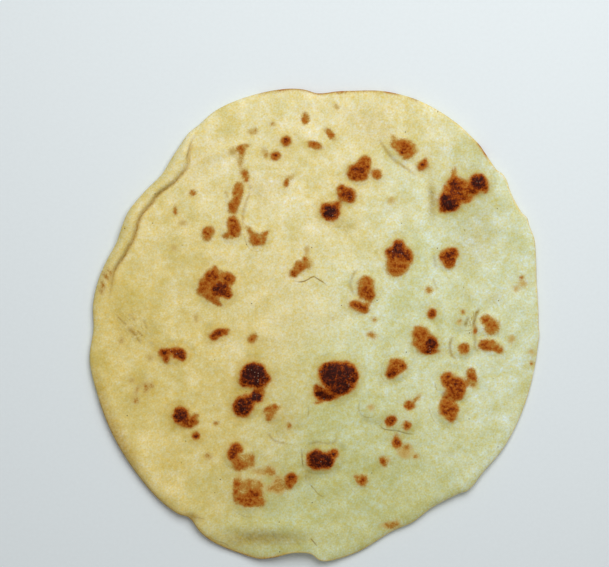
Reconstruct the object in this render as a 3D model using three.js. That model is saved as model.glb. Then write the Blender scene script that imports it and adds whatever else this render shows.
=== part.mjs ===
// A home-baked naan lying flat: one closed piece of soft flat bread.
//
// Millimetres, +Z up. The origin is on the surface that the bread lies on, under the middle of
// its bounding box. +Y is the top of the bread as it is seen from straight above, +X its right.
//
// The crumb is one skin over a disc: a square grid is bent into a disc, the disc is stretched to
// the outline of the dough, and two heights are worked out at each point, one for the blistered
// top and one for the underside, which is flat in the middle and rises where the rim lifts.

import * as THREE from 'three';

// ---- Driving dimensions ----------------------------------------------------------------------

const CRUMB_THICKNESS = 4.4;   // the sheet of dough away from its blisters
const LIP_HEIGHT = 1.9;        // the widest line of the rounded rim, above the underside
const TOP_ROUNDING = 6.0;      // how far inwards the top takes to round over at the rim
const UNDER_ROUNDING = 3.4;    // the same for the underside
const MEAN_RADIUS = 104;       // the grid's rings are round with this radius in the middle

// The outline as [angle in degrees, radius], anticlockwise from +X. There is a point at each
// place where the hand-pressed edge turns, and a smooth closed curve joins them.
const OUTLINE = [
  [0, 108.3], [10, 109.1], [15.6, 111.2], [21, 113.8], [24.5, 114.1], [26.5, 114.7], [28, 113.6],
  [31.3, 113.5], [34.6, 114.5], [36.8, 115.9], [38.7, 116], [40.2, 115.1], [44.5, 116.3],
  [47.2, 117.4], [50, 117.8], [54, 118.5], [64.5, 118.7], [73, 116.9], [80, 113.8],
  [84.5, 112.2], [87, 111.1], [89.3, 110.9], [92.5, 112.8], [97, 113.8], [106, 113.8],
  [114.5, 112.9], [120, 110.4], [123, 109.7], [127, 107], [131.5, 104.2], [135.5, 102.3],
  [142, 103], [149, 104], [152.5, 103.3], [157.5, 102.4], [162, 103.6], [167.5, 105.3],
  [174.5, 106.4], [181.5, 105.9], [189, 109], [198, 109.3], [210, 110.4], [219, 111.3],
  [229, 112.6], [234.5, 112.2], [237.5, 110.8], [241.5, 114], [245.5, 115.6], [252, 116],
  [257, 116], [260.3, 113.9], [264, 110.8], [267, 109.9], [269.5, 110.6], [271.6, 113.7],
  [274, 114.2], [281, 111.8], [290, 107], [296.5, 106.7], [303, 105.2], [310, 107.2],
  [313, 109.3], [319, 108.4], [327, 109.2], [345, 108.6], [351, 108.5], [355, 108.6],
  [357.4, 108.9],
];

// Places where the rim stands off the surface: [angle, lift at the edge, half width in degrees,
// how far in from the edge the lift starts].
const RIM_LIFTS = [
  [266, 5.6, 8, 26],      // the arch at the front edge
  [147, 3.2, 26, 24],     // under the folded rim
  [237.5, 2, 8, 18],      // the small corner beside the arch
  [203, 1.6, 20, 22],
  [89, 1.4, 8, 16],
  [62, 1.5, 22, 24],
  [18, 1.1, 22, 22],
  [312, 1.7, 18, 24],
];

// The fold at the upper left: the rim is rolled over, and a crease parts the roll from the sheet.
// The crease as [angle, how far in from the edge].
const FOLD_CREASE = [
  [110, 3], [119, 3], [122.4, 3.7], [124.3, 4.7], [126.8, 7], [128.4, 9.1], [131.2, 8.6],
  [135.9, 6.8], [140, 5.8], [143.8, 6.5], [147, 6.3], [152, 7.2], [155.5, 7.2], [157.5, 6.4],
  [160.3, 6.6], [165, 5.8], [169.3, 7], [178, 7.2], [190, 7.2],
];
const FOLD_ENDS = [117, 128, 159, 178];  // it deepens over the first two angles, fades over the last
const FOLD_ROLL_HEIGHT = 1.9;            // the roll's crown above the sheet
const FOLD_CREASE_DEPTH = 1;
const FOLD_CREASE_WIDTH = 0.9;

// Blisters: [x, y, half length, half width, turn in degrees, height].
const BLISTERS = [
  // along the top and down the upper left
  [-13, 88, 4.5, 4, 0, 0.6], [0.5, 86, 6, 4, -10, 0.5], [-35, 83, 5.5, 5, 0, 0.6],
  [-36.8, 61, 11, 6, 84, 1], [-38.8, 46, 8.6, 6.6, 80, 1.2], [-26.6, 41.5, 7, 6, 0, 1],
  [-50.6, 43.5, 5.4, 4.6, 90, 0.7],
  // upper right
  [43.5, 84, 9.5, 7.5, -35, 1.4], [52.5, 76.5, 4.4, 4, 0, 0.6], [22, 74.5, 9.6, 8, 60, 1.5],
  [31, 71.5, 4, 4, 0, 0.6], [16, 62.5, 6.6, 6, -60, 1.1], [8.5, 54, 7, 6.6, 0, 1.2],
  [66, 59.5, 8.6, 7.4, 20, 1.5], [71, 66, 8, 7.4, 30, 1.4], [79.5, 67.3, 7.2, 6.8, 0, 1.3],
  [41, 31.5, 11.4, 9, 80, 1.6], [64.5, 32, 7.6, 6.8, 60, 1.3],
  // across the middle
  [-45.5, 18, 13, 11, 0, 1.3], [-6, 27.5, 7.6, 4.4, 40, 0.8], [25.5, 17.5, 8.6, 6, -75, 1.1],
  [22.3, 8.4, 6.4, 4.6, -12, 0.8], [-45.4, -4.5, 6.8, 4.4, 25, 0.8],
  [-67.5, -14.7, 8.8, 5.4, 5, 0.9],
  // the crowd at the right
  [57, 5, 3.8, 3.8, 0, 0.5], [53.5, -7.5, 9.4, 9, -45, 1.4], [71, 3, 8, 4.2, 75, 0.9],
  [84.2, -0.3, 7.6, 7.2, 0, 1.5], [72.2, -11.6, 6, 5.8, 0, 1.3], [86, -10.8, 8, 5, -20, 1],
  [40.3, -21.3, 7.8, 7, 40, 1.4], [67.4, -30.5, 9.2, 8, -60, 1.5], [65, -42, 8, 7.2, 0, 1.3],
  [76, -24.7, 5.6, 4.4, -70, 0.7], [29, -42, 9, 6.4, -20, 0.9], [42, -46, 9, 7, -30, 0.8],
  // below the middle and down to the front edge
  [-28.6, -24.7, 10, 9.2, 0, 1.6], [-32.5, -38.8, 8.4, 7.6, 30, 1.3],
  [-20, -42.6, 6.2, 5.4, 60, 0.8], [11, -26.5, 13, 11.6, 20, 1.9], [4.6, -65, 10.6, 8.2, 10, 1.6],
  [-62, -45, 7.6, 6.6, 0, 1.1], [-37, -63.5, 8.4, 7, -40, 1], [-30.5, -81, 11, 10.6, 0, 1.2],
  [-10.5, -74.5, 6.4, 5.4, 40, 0.9], [23.3, -75, 5.2, 4.6, 0, 0.6], [36, -62, 8, 5, 60, 0.6],
];

// Low folds of the skin near the front edge and the upper left: [x, y, half length, half width,
// turn, height].
const RIDGES = [
  [-24, -98, 30, 5.5, -3, 1.1], [-43, 83, 20, 4, 20, 0.7], [-90, 2, 20, 6, 62, 0.7],
];

// Slow swells of the whole sheet: [height, wavelength, direction in degrees, phase in degrees].
const SWELLS = [[0.45, 150, 25, 40], [0.35, 96, 118, 200], [0.22, 61, 70, 310], [0.16, 43, 155, 95]];

// ---- Grid ------------------------------------------------------------------------------------

const TOP_RINGS = 32;                     // from the middle to the lip, 8 points more each ring
const UNDER_RINGS = TOP_RINGS / 2;        // the underside is plainer, so it has half as many
const TOP_RIM_INSETS = [0, 0.5, 1.8, 4, 7.2];  // the last rings crowd into the rounded rim
const CREASE_RING = 4;                         // this one of them follows the fold's crease
const UNDER_RIM_INSETS = [1.3, 4];

const radians = THREE.MathUtils.degToRad;
const smoothStep = (t) => THREE.MathUtils.smoothstep(t, 0, 1);

// ---- The outline -----------------------------------------------------------------------------

// A smooth curve through [angle, value] points, read at an angle between points i and i + 1: the
// cubic whose slope at each point is that of the line between the point's neighbours.
function smoothCurve(pointAt, i, angle) {
  const [before, from, to, after] = [pointAt(i - 1), pointAt(i), pointAt(i + 1), pointAt(i + 2)];
  const span = to[0] - from[0];
  const t = (angle - from[0]) / span;
  const slopeFrom = (span * (to[1] - before[1])) / (to[0] - before[0]);
  const slopeTo = (span * (after[1] - from[1])) / (after[0] - from[0]);
  return from[1] * (2 * t ** 3 - 3 * t ** 2 + 1) + slopeFrom * (t ** 3 - 2 * t ** 2 + t)
    + to[1] * (3 * t ** 2 - 2 * t ** 3) + slopeTo * (t ** 3 - t ** 2);
}

// The edge's radius at an angle in degrees. The list closes on itself, a full turn on.
function outlineRadius(angle) {
  const count = OUTLINE.length;
  const pointAt = (i) => {
    const turns = Math.floor(i / count);
    const [degrees, radius] = OUTLINE[i - turns * count];
    return [degrees + 360 * turns, radius];
  };
  let i = count - 1;
  while (OUTLINE[i][0] > angle) i -= 1;
  return smoothCurve(pointAt, i, angle);
}

// How far in from the edge the fold's crease runs, and how deep it is there, from 0 to 1.
function foldAt(angle) {
  const [start, full, fading, end] = FOLD_ENDS;
  const depth = smoothStep((angle - start) / (full - start)) * smoothStep((end - angle) / (end - fading));
  if (depth === 0) return { inset: TOP_RIM_INSETS[CREASE_RING], depth };
  let i = 1;
  while (FOLD_CREASE[i + 1][0] < angle) i += 1;
  return { inset: smoothCurve((n) => FOLD_CREASE[n], i, angle), depth };
}

// The middle of the outline's bounding box, which becomes the origin.
function outlineMiddle() {
  const box = new THREE.Box2();
  for (let degrees = 0; degrees < 360; degrees += 0.25) {
    const radius = outlineRadius(degrees);
    const turn = radians(degrees);
    box.expandByPoint(new THREE.Vector2(radius * Math.cos(turn), radius * Math.sin(turn)));
  }
  return box.getCenter(new THREE.Vector2());
}

// ---- Heights ---------------------------------------------------------------------------------

// How far a point is from the middle of a long round form, 0 there and 1 at its foot.
function ovalReach(x, y, [cx, cy, halfLength, halfWidth, turn]) {
  const c = Math.cos(radians(turn));
  const s = Math.sin(radians(turn));
  const along = ((x - cx) * c + (y - cy) * s) / halfLength;
  const across = ((y - cy) * c - (x - cx) * s) / halfWidth;
  return Math.hypot(along, across);
}

// A blister is a dome with a flattened crown, where it touched the hot plate.
function blisterHeight(x, y) {
  let height = 0;
  for (const blister of BLISTERS) {
    const reach = ovalReach(x, y, blister);
    if (reach < 1) height = Math.max(height, blister[5] * (1 - reach ** 4) ** 2);
  }
  return height;
}

// A ridge is a soft bell along its own line.
function ridgeHeight(x, y) {
  let height = 0;
  for (const ridge of RIDGES) {
    const reach = ovalReach(x, y, ridge);
    if (reach < 1) height += ridge[5] * (1 - reach ** 2) ** 2;
  }
  return height;
}

function swellHeight(x, y) {
  return SWELLS.reduce((sum, [height, wavelength, direction, phase]) => {
    const along = x * Math.cos(radians(direction)) + y * Math.sin(radians(direction));
    return sum + height * Math.sin((2 * Math.PI * along) / wavelength + radians(phase));
  }, 0);
}

// The fold: a groove along the crease, and outside it a rounded roll up to the edge.
function foldHeight(angle, inset) {
  const fold = foldAt(angle);
  const groove = -FOLD_CREASE_DEPTH * Math.exp(-(((inset - fold.inset) / FOLD_CREASE_WIDTH) ** 2));
  const across = THREE.MathUtils.clamp(inset / fold.inset, 0, 1);
  return fold.depth * (groove + FOLD_ROLL_HEIGHT * 4 * across * (1 - across));
}

// How far the rim stands off the surface at an angle in degrees, `inset` in from the edge.
function rimLift(angle, inset) {
  return RIM_LIFTS.reduce((sum, [middle, lift, halfWidth, reach]) => {
    const away = (((angle - middle + 540) % 360) - 180) / halfWidth;
    const inwards = THREE.MathUtils.clamp(1 - inset / reach, 0, 1);
    return sum + lift * Math.exp(-(away ** 2)) * inwards ** 2;
  }, 0);
}

// A quarter of an ellipse: 0 at the edge, 1 once the rounding is over.
const rounding = (inset, width) => Math.sqrt(1 - (1 - Math.min(inset / width, 1)) ** 2);

// ---- The skin --------------------------------------------------------------------------------

// The point of a grid at ring `k` of `rings`, at an angle. The outermost rings lie at
// `rimInsets` from the edge, and the crease's ring moves onto the crease. The rings inside them
// are evenly spaced, and turn from the outline's form to round ones towards the middle.
function gridPoint(k, rings, angle, rimInsets) {
  const edge = outlineRadius(angle);
  const fromEdge = rings - k;
  const last = rimInsets.length - 1;
  const ring = Math.min(fromEdge, last);
  let inset = rimInsets[ring];
  if (ring === CREASE_RING) {
    const fold = foldAt(angle);
    inset = THREE.MathUtils.lerp(inset, fold.inset, fold.depth);
  }
  let radius = edge - inset;
  if (fromEdge > last) {
    const share = (rings - fromEdge) / (rings - last);
    radius = share * THREE.MathUtils.lerp(MEAN_RADIUS, radius, share ** 2);
  }
  const turn = radians(angle);
  return { x: radius * Math.cos(turn), y: radius * Math.sin(turn), angle, inset: edge - radius };
}

function topHeight({ x, y, angle, inset }) {
  const relief = swellHeight(x, y) + blisterHeight(x, y) + ridgeHeight(x, y) + foldHeight(angle, inset);
  const crown = CRUMB_THICKNESS + relief - LIP_HEIGHT;
  return rimLift(angle, inset) + LIP_HEIGHT + crown * rounding(inset, TOP_ROUNDING);
}

function underHeight({ angle, inset }) {
  return rimLift(angle, inset) + LIP_HEIGHT * (1 - rounding(inset, UNDER_ROUNDING));
}

// A square grid of points (column, row) from -rings to rings, bent into a disc: the squares
// round the middle become rings, and `place(k, turn)` puts the point on the bread.
function discGrid(rings, place) {
  const index = new Map();
  for (let row = -rings; row <= rings; row += 1) {
    for (let column = -rings; column <= rings; column += 1) {
      const k = Math.max(Math.abs(row), Math.abs(column));
      let eighths = 0;
      if (k > 0 && Math.abs(column) >= Math.abs(row)) eighths = row / column + (column < 0 ? 4 : 0);
      else if (k > 0) eighths = 2 - column / row + (row < 0 ? 4 : 0);
      index.set(`${column},${row}`, place(k, ((eighths + 8) % 8) / 8));
    }
  }
  const triangles = [];
  for (let row = -rings; row < rings; row += 1) {
    for (let column = -rings; column < rings; column += 1) {
      const corner = (dx, dy) => index.get(`${column + dx},${row + dy}`);
      const [a, b, c, d] = [corner(0, 0), corner(1, 0), corner(1, 1), corner(0, 1)];
      const outward = (column + 0.5) * (row + 0.5) > 0;
      if (outward) triangles.push([a, b, c], [a, c, d]);
      else triangles.push([a, b, d], [b, c, d]);
    }
  }
  return triangles;
}

function naanGeometry() {
  const middle = outlineMiddle();
  const positions = [];
  const add = (point, height) => {
    positions.push(point.x - middle.x, point.y - middle.y, height);
    return positions.length / 3 - 1;
  };

  const lip = new Map();
  const top = discGrid(TOP_RINGS, (k, turn) => {
    const point = gridPoint(k, TOP_RINGS, 360 * turn, TOP_RIM_INSETS);
    const vertex = add(point, topHeight(point));
    if (k === TOP_RINGS) lip.set(Math.round(turn * 8 * TOP_RINGS), vertex);
    return vertex;
  });

  const hem = new Map();
  const under = discGrid(UNDER_RINGS, (k, turn) => {
    const point = gridPoint(k, UNDER_RINGS, 360 * turn, UNDER_RIM_INSETS);
    const vertex = add(point, underHeight(point));
    if (k === UNDER_RINGS) hem.set(Math.round(turn * 8 * UNDER_RINGS), vertex);
    return vertex;
  });

  // Three triangles join each step of the hem, the underside's last ring, to two of the lip.
  const join = [];
  const hemSteps = 8 * UNDER_RINGS;
  for (let step = 0; step < hemSteps; step += 1) {
    const [hemA, hemB] = [hem.get(step), hem.get((step + 1) % hemSteps)];
    const lipAt = (offset) => lip.get((2 * step + offset) % (2 * hemSteps));
    join.push([lipAt(0), hemA, lipAt(1)], [lipAt(1), hemA, hemB], [lipAt(1), hemB, lipAt(2)]);
  }

  const index = [...top, ...under.map(([a, b, c]) => [a, c, b]), ...join].flat();
  const geometry = new THREE.BufferGeometry();
  geometry.setAttribute('position', new THREE.Float32BufferAttribute(positions, 3));
  geometry.setIndex(index);
  geometry.computeVertexNormals();
  return geometry;
}

// ---- The part --------------------------------------------------------------------------------

const bread = new THREE.MeshStandardMaterial({ color: 0xdccf9a, roughness: 0.9, metalness: 0 });
const naan = new THREE.Mesh(naanGeometry(), bread);
naan.name = 'naan';

const group = new THREE.Group();
group.add(naan);

export default group;
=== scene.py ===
# %% [markdown]
# # A home-baked naan
#
# A naan is a soft flat bread. A ball of dough is pressed out by hand and laid on a hot surface,
# where air blisters its skin, and the crowns of the blisters scorch. So it has three layers to
# draw: the form of the sheet with its rolled and lifted rim, the thin wrinkled skin, and the
# toasting, which ranges from a faint tan to black.
#
# A solid model of the bread is loaded first. It has the true size and the main humps, and all that
# follows is fitted to it.

import bpy
import numpy as np
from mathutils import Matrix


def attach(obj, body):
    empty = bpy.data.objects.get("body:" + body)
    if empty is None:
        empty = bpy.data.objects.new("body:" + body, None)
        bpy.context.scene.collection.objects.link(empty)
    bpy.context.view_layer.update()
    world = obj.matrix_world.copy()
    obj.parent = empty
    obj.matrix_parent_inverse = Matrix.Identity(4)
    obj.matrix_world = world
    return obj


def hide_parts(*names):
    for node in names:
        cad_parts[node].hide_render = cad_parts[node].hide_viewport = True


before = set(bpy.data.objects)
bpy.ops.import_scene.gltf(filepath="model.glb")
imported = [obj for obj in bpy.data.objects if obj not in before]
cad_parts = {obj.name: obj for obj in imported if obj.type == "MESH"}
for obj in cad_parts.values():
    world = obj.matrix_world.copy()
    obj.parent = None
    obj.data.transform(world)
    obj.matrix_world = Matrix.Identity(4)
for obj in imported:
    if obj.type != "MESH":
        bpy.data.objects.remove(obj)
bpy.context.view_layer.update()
scene = bpy.context.scene
MM = 0.001  # Blender works in metres, and a bread is easier to think of in millimetres

# %% [markdown]
# ## The edge
#
# The edge of a hand-pressed bread is only roughly round: it bulges where the fingers pushed it out
# and has a nick where the dough was torn. It could be drawn as a curve object, but a rule that
# gives the radius at any angle is easier to use, because every ring of the mesh asks for it. The
# list holds one point for each place where the edge turns.

# %% A smooth curve through a few points
def smooth_curve(points, at, period=None):
    """Read a smooth curve through [position, value] points, at the positions `at`.

    Between two points it is the cubic whose slope at each of them is the slope of the straight
    line between that point's two neighbours. With a period, the list closes on itself.
    """
    spots, values = np.array(points, float).T
    if period:
        spots = np.concatenate([spots[-2:] - period, spots, spots[:2] + period])
        values = np.concatenate([values[-2:], values, values[:2]])
    slopes = (values[2:] - values[:-2]) / (spots[2:] - spots[:-2])
    i = np.clip(np.searchsorted(spots, at, side="right") - 1, 1, len(spots) - 3)
    span = spots[i + 1] - spots[i]
    t = (at - spots[i]) / span
    return (
        values[i] * (2 * t**3 - 3 * t**2 + 1)
        + span * slopes[i - 1] * (t**3 - 2 * t**2 + t)
        + values[i + 1] * (3 * t**2 - 2 * t**3)
        + span * slopes[i] * (t**3 - t**2)
    )


# %% The outline of the dough
# [angle in degrees, radius in mm], anticlockwise from +X.
OUTLINE = [
    [0, 108.3], [10, 109.1], [15.6, 111.2], [21, 113.8], [24.5, 114.1], [26.5, 114.7], [28, 113.6],
    [31.3, 113.5], [34.6, 114.5], [36.8, 115.9], [38.7, 116], [40.2, 115.1], [44.5, 116.3],
    [47.2, 117.4], [50, 117.8], [54, 118.5], [64.5, 118.7], [73, 116.9], [80, 113.8],
    [84.5, 112.2], [87, 111.1], [89.3, 110.9], [92.5, 112.8], [97, 113.8], [106, 113.8],
    [114.5, 112.9], [120, 110.4], [123, 109.7], [127, 107], [131.5, 104.2], [135.5, 102.3],
    [142, 103], [149, 104], [152.5, 103.3], [157.5, 102.4], [162, 103.6], [167.5, 105.3],
    [174.5, 106.4], [181.5, 105.9], [189, 109], [198, 109.3], [210, 110.4], [219, 111.3],
    [229, 112.6], [234.5, 112.2], [237.5, 110.8], [241.5, 114], [245.5, 115.6], [252, 116],
    [257, 116], [260.3, 113.9], [264, 110.8], [267, 109.9], [269.5, 110.6], [271.6, 113.7],
    [274, 114.2], [281, 111.8], [290, 107], [296.5, 106.7], [303, 105.2], [310, 107.2],
    [313, 109.3], [319, 108.4], [327, 109.2], [345, 108.6], [351, 108.5], [355, 108.6],
    [357.4, 108.9],
]


def edge_radius(angle):
    """The radius of the edge at an angle in degrees."""
    return smooth_curve(OUTLINE, angle, period=360)


def outline_middle():
    """The middle of the outline's bounding box, which is the bread's origin."""
    degrees = np.arange(0, 360, 0.25)
    x = edge_radius(degrees) * np.cos(np.radians(degrees))
    y = edge_radius(degrees) * np.sin(np.radians(degrees))
    return np.array([x.min() + x.max(), y.min() + y.max()]) / 2


MIDDLE = outline_middle()
print("the outline's middle is at", MIDDLE.round(2), "mm")

# %% [markdown]
# ## The form
#
# Seen from the side the bread is a sheet of crumb with a rounded rim, and everything else is a
# small height added to it: low blisters, soft ridges, slow swells, the rim that stands off the
# surface in places, and the fold at the upper left, where the rim is rolled over. Sculpting would
# give such a form too, but then nobody could tell how high a blister is. Here each height is a
# short rule, and the heights are those of the solid.

# %% Sizes of the sheet, its rim and its fold
CRUMB_THICKNESS = 4.4   # the sheet away from its blisters
LIP_HEIGHT = 1.9        # the widest line of the rounded rim
TOP_ROUNDING = 6.0      # how far inwards the top takes to round over
UNDER_ROUNDING = 3.4    # the same for the underside

# Where the rim lifts: [angle, lift, half width in degrees, how far in the lift starts].
RIM_LIFTS = [
    [266, 5.6, 8, 26],      # the arch at the front edge
    [147, 3.2, 26, 24],     # under the folded rim
    [237.5, 2, 8, 18],      # the small corner beside the arch
    [203, 1.6, 20, 22], [89, 1.4, 8, 16], [62, 1.5, 22, 24], [18, 1.1, 22, 22], [312, 1.7, 18, 24],
]

# The crease of the fold: [angle, how far in from the edge].
FOLD_CREASE = [
    [110, 3], [119, 3], [122.4, 3.7], [124.3, 4.7], [126.8, 7], [128.4, 9.1], [131.2, 8.6],
    [135.9, 6.8], [140, 5.8], [143.8, 6.5], [147, 6.3], [152, 7.2], [155.5, 7.2], [157.5, 6.4],
    [160.3, 6.6], [165, 5.8], [169.3, 7], [178, 7.2], [190, 7.2],
]
FOLD_ENDS = [117, 128, 159, 178]  # it deepens over the first two angles, fades over the last two
FOLD_ROLL_HEIGHT = 1.9
FOLD_CREASE_DEPTH = 1.0
FOLD_CREASE_WIDTH = 0.9

# %% Humps: blisters, ridges and swells
# Blisters: [x, y, half length, half width, turn in degrees, height].
BLISTERS = [
    # along the top and down the upper left
    [-13, 88, 4.5, 4, 0, 0.6], [0.5, 86, 6, 4, -10, 0.5], [-35, 83, 5.5, 5, 0, 0.6],
    [-36.8, 61, 11, 6, 84, 1], [-38.8, 46, 8.6, 6.6, 80, 1.2], [-26.6, 41.5, 7, 6, 0, 1],
    [-50.6, 43.5, 5.4, 4.6, 90, 0.7],
    # upper right
    [43.5, 84, 9.5, 7.5, -35, 1.4], [52.5, 76.5, 4.4, 4, 0, 0.6], [22, 74.5, 9.6, 8, 60, 1.5],
    [31, 71.5, 4, 4, 0, 0.6], [16, 62.5, 6.6, 6, -60, 1.1], [8.5, 54, 7, 6.6, 0, 1.2],
    [66, 59.5, 8.6, 7.4, 20, 1.5], [71, 66, 8, 7.4, 30, 1.4], [79.5, 67.3, 7.2, 6.8, 0, 1.3],
    [41, 31.5, 11.4, 9, 80, 1.6], [64.5, 32, 7.6, 6.8, 60, 1.3],
    # across the middle
    [-45.5, 18, 13, 11, 0, 1.3], [-6, 27.5, 7.6, 4.4, 40, 0.8], [25.5, 17.5, 8.6, 6, -75, 1.1],
    [22.3, 8.4, 6.4, 4.6, -12, 0.8], [-45.4, -4.5, 6.8, 4.4, 25, 0.8],
    [-67.5, -14.7, 8.8, 5.4, 5, 0.9],
    # the crowd at the right
    [57, 5, 3.8, 3.8, 0, 0.5], [53.5, -7.5, 9.4, 9, -45, 1.4], [71, 3, 8, 4.2, 75, 0.9],
    [84.2, -0.3, 7.6, 7.2, 0, 1.5], [72.2, -11.6, 6, 5.8, 0, 1.3], [86, -10.8, 8, 5, -20, 1],
    [40.3, -21.3, 7.8, 7, 40, 1.4], [67.4, -30.5, 9.2, 8, -60, 1.5], [65, -42, 8, 7.2, 0, 1.3],
    [76, -24.7, 5.6, 4.4, -70, 0.7], [29, -42, 9, 6.4, -20, 0.9], [42, -46, 9, 7, -30, 0.8],
    # below the middle and down to the front edge
    [-28.6, -24.7, 10, 9.2, 0, 1.6], [-32.5, -38.8, 8.4, 7.6, 30, 1.3],
    [-20, -42.6, 6.2, 5.4, 60, 0.8], [11, -26.5, 13, 11.6, 20, 1.9], [4.6, -65, 10.6, 8.2, 10, 1.6],
    [-62, -45, 7.6, 6.6, 0, 1.1], [-37, -63.5, 8.4, 7, -40, 1], [-30.5, -81, 11, 10.6, 0, 1.2],
    [-10.5, -74.5, 6.4, 5.4, 40, 0.9], [23.3, -75, 5.2, 4.6, 0, 0.6], [36, -62, 8, 5, 60, 0.6],
]

# Low folds of the skin, written like the blisters.
RIDGES = [[-24, -98, 30, 5.5, -3, 1.1], [-43, 83, 20, 4, 20, 0.7], [-90, 2, 20, 6, 62, 0.7]]

# Slow swells of the whole sheet: [height, wavelength, direction, phase].
SWELLS = [[0.45, 150, 25, 40], [0.35, 96, 118, 200], [0.22, 61, 70, 310], [0.16, 43, 155, 95]]


def oval_reach(x, y, oval):
    """How far a point is from the middle of an oval: 0 there, 1 on its rim.

    The point is turned into the oval's own directions, and each distance is divided by the half
    size in that direction.
    """
    cx, cy, half_length, half_width, turn = oval[:5]
    c, s = np.cos(np.radians(turn)), np.sin(np.radians(turn))
    along = ((x - cx) * c + (y - cy) * s) / half_length
    across = ((y - cy) * c - (x - cx) * s) / half_width
    return np.hypot(along, across)


def blister_height(x, y):
    """The highest blister here, each one a dome with a flat crown: height (1 - reach^4)^2."""
    height = np.zeros_like(x)
    for blister in BLISTERS:
        reach = np.minimum(oval_reach(x, y, blister), 1)
        height = np.maximum(height, blister[5] * (1 - reach**4) ** 2)
    return height


def ridge_height(x, y):
    """The ridges added up, each one a soft bell: height (1 - reach^2)^2."""
    reaches = [np.minimum(oval_reach(x, y, ridge), 1) for ridge in RIDGES]
    return sum(ridge[5] * (1 - reach**2) ** 2 for ridge, reach in zip(RIDGES, reaches))


def swell_height(x, y):
    """Plane sine waves added up."""
    height = np.zeros_like(x)
    for size, wavelength, direction, phase in SWELLS:
        turn = np.radians(direction)
        along = x * np.cos(turn) + y * np.sin(turn)
        height += size * np.sin(2 * np.pi * along / wavelength + np.radians(phase))
    return height


print(len(BLISTERS), "blisters, the highest of", max(blister[5] for blister in BLISTERS), "mm")

# %% The rim: its fold, its lift and its rounding
def smooth_step(t):
    """0 below 0, 1 above 1, and 3 t^2 - 2 t^3 between."""
    t = np.clip(t, 0, 1)
    return t * t * (3 - 2 * t)


def fold_at(angle):
    """How far in the fold's crease runs at an angle, and how deep it is there, from 0 to 1."""
    start, full, fading, end = FOLD_ENDS
    depth = smooth_step((angle - start) / (full - start)) * smooth_step((end - angle) / (end - fading))
    return smooth_curve(FOLD_CREASE, np.clip(angle, start, end)), depth


def fold_height(angle, inset):
    """A groove along the crease, a bell of the distance to it, and a round roll outside it."""
    crease, depth = fold_at(angle)
    groove = -FOLD_CREASE_DEPTH * np.exp(-(((inset - crease) / FOLD_CREASE_WIDTH) ** 2))
    across = np.clip(inset / crease, 0, 1)
    return depth * (groove + FOLD_ROLL_HEIGHT * 4 * across * (1 - across))


def rim_lift(angle, inset):
    """How far the rim stands off the surface: a bell along the edge times a parabola inwards."""
    lift = np.zeros_like(inset)
    for middle, height, half_width, reach in RIM_LIFTS:
        away = ((angle - middle + 540) % 360 - 180) / half_width
        lift += height * np.exp(-(away**2)) * np.clip(1 - inset / reach, 0, 1) ** 2
    return lift


def rounding(inset, width):
    """A quarter of an ellipse: 0 at the edge, 1 once the rounding is over."""
    return np.sqrt(1 - (1 - np.clip(inset / width, 0, 1)) ** 2)


crease_insets, _ = fold_at(np.linspace(FOLD_ENDS[1], FOLD_ENDS[2], 50))
print("the fold is", crease_insets.min().round(1), "to", crease_insets.max().round(1), "mm wide")

# %% [markdown]
# ## The skin's own unevenness
#
# Between the blisters the skin is never flat: gluten strands pull it into soft lumps a centimetre
# or a few millimetres across. A noise texture used as displacement would do this in the shader,
# but then the mesh itself would stay smooth. Adding up plane waves with directions and lengths
# drawn at random gives the same kind of ground as a plain sum, and a seed makes it come out the
# same each time.

# %% Ripples
def ripples(x, y, wavelength, seed, count=24):
    """Uneven ground with a spread of 1: the sum of plane waves of nearly one length.

    Each wave is the sine of 2 pi times the distance along its direction, over its length, plus a
    phase. Dividing by the root of half their number gives the sum a spread of 1.
    """
    draw = np.random.default_rng(seed)
    directions = draw.uniform(0, 2 * np.pi, count)
    lengths = wavelength * draw.uniform(0.75, 1.25, count)
    phases = draw.uniform(0, 2 * np.pi, count)
    total = np.zeros_like(x)
    for direction, length, phase in zip(directions, lengths, phases):
        along = x * np.cos(direction) + y * np.sin(direction)
        total += np.sin(2 * np.pi * along / length + phase)
    return total / np.sqrt(count / 2)


# Soft lumps of the top: [wavelength, height, seed].
LUMPS = [[12, 0.08, 1], [5.2, 0.027, 2], [2.4, 0.009, 3]]


def lump_height(x, y):
    """The lumps of all sizes added up."""
    return sum(height * ripples(x, y, wavelength, seed) for wavelength, height, seed in LUMPS)


# %% [markdown]
# ## Creases and wrinkled patches
#
# Where a blister sank back or a finger pressed, the skin has a fine crease, and in a few places it
# is puckered and looks olive grey, because it dried there before it rose. The creases are listed
# lines, and so are the soft ochre strips beside some blisters. Each point of the mesh learns how far
# it is from the nearest line, and on which side, so the material can draw a line much finer than
# the mesh.

# %% Crease lines
def arc(cx, cy, radius, start, end, count=7):
    """Points on an arc of a circle, from one angle in degrees to another."""
    turns = np.radians(np.linspace(start, end, count))
    return list(zip(cx + radius * np.cos(turns), cy + radius * np.sin(turns)))


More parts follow.
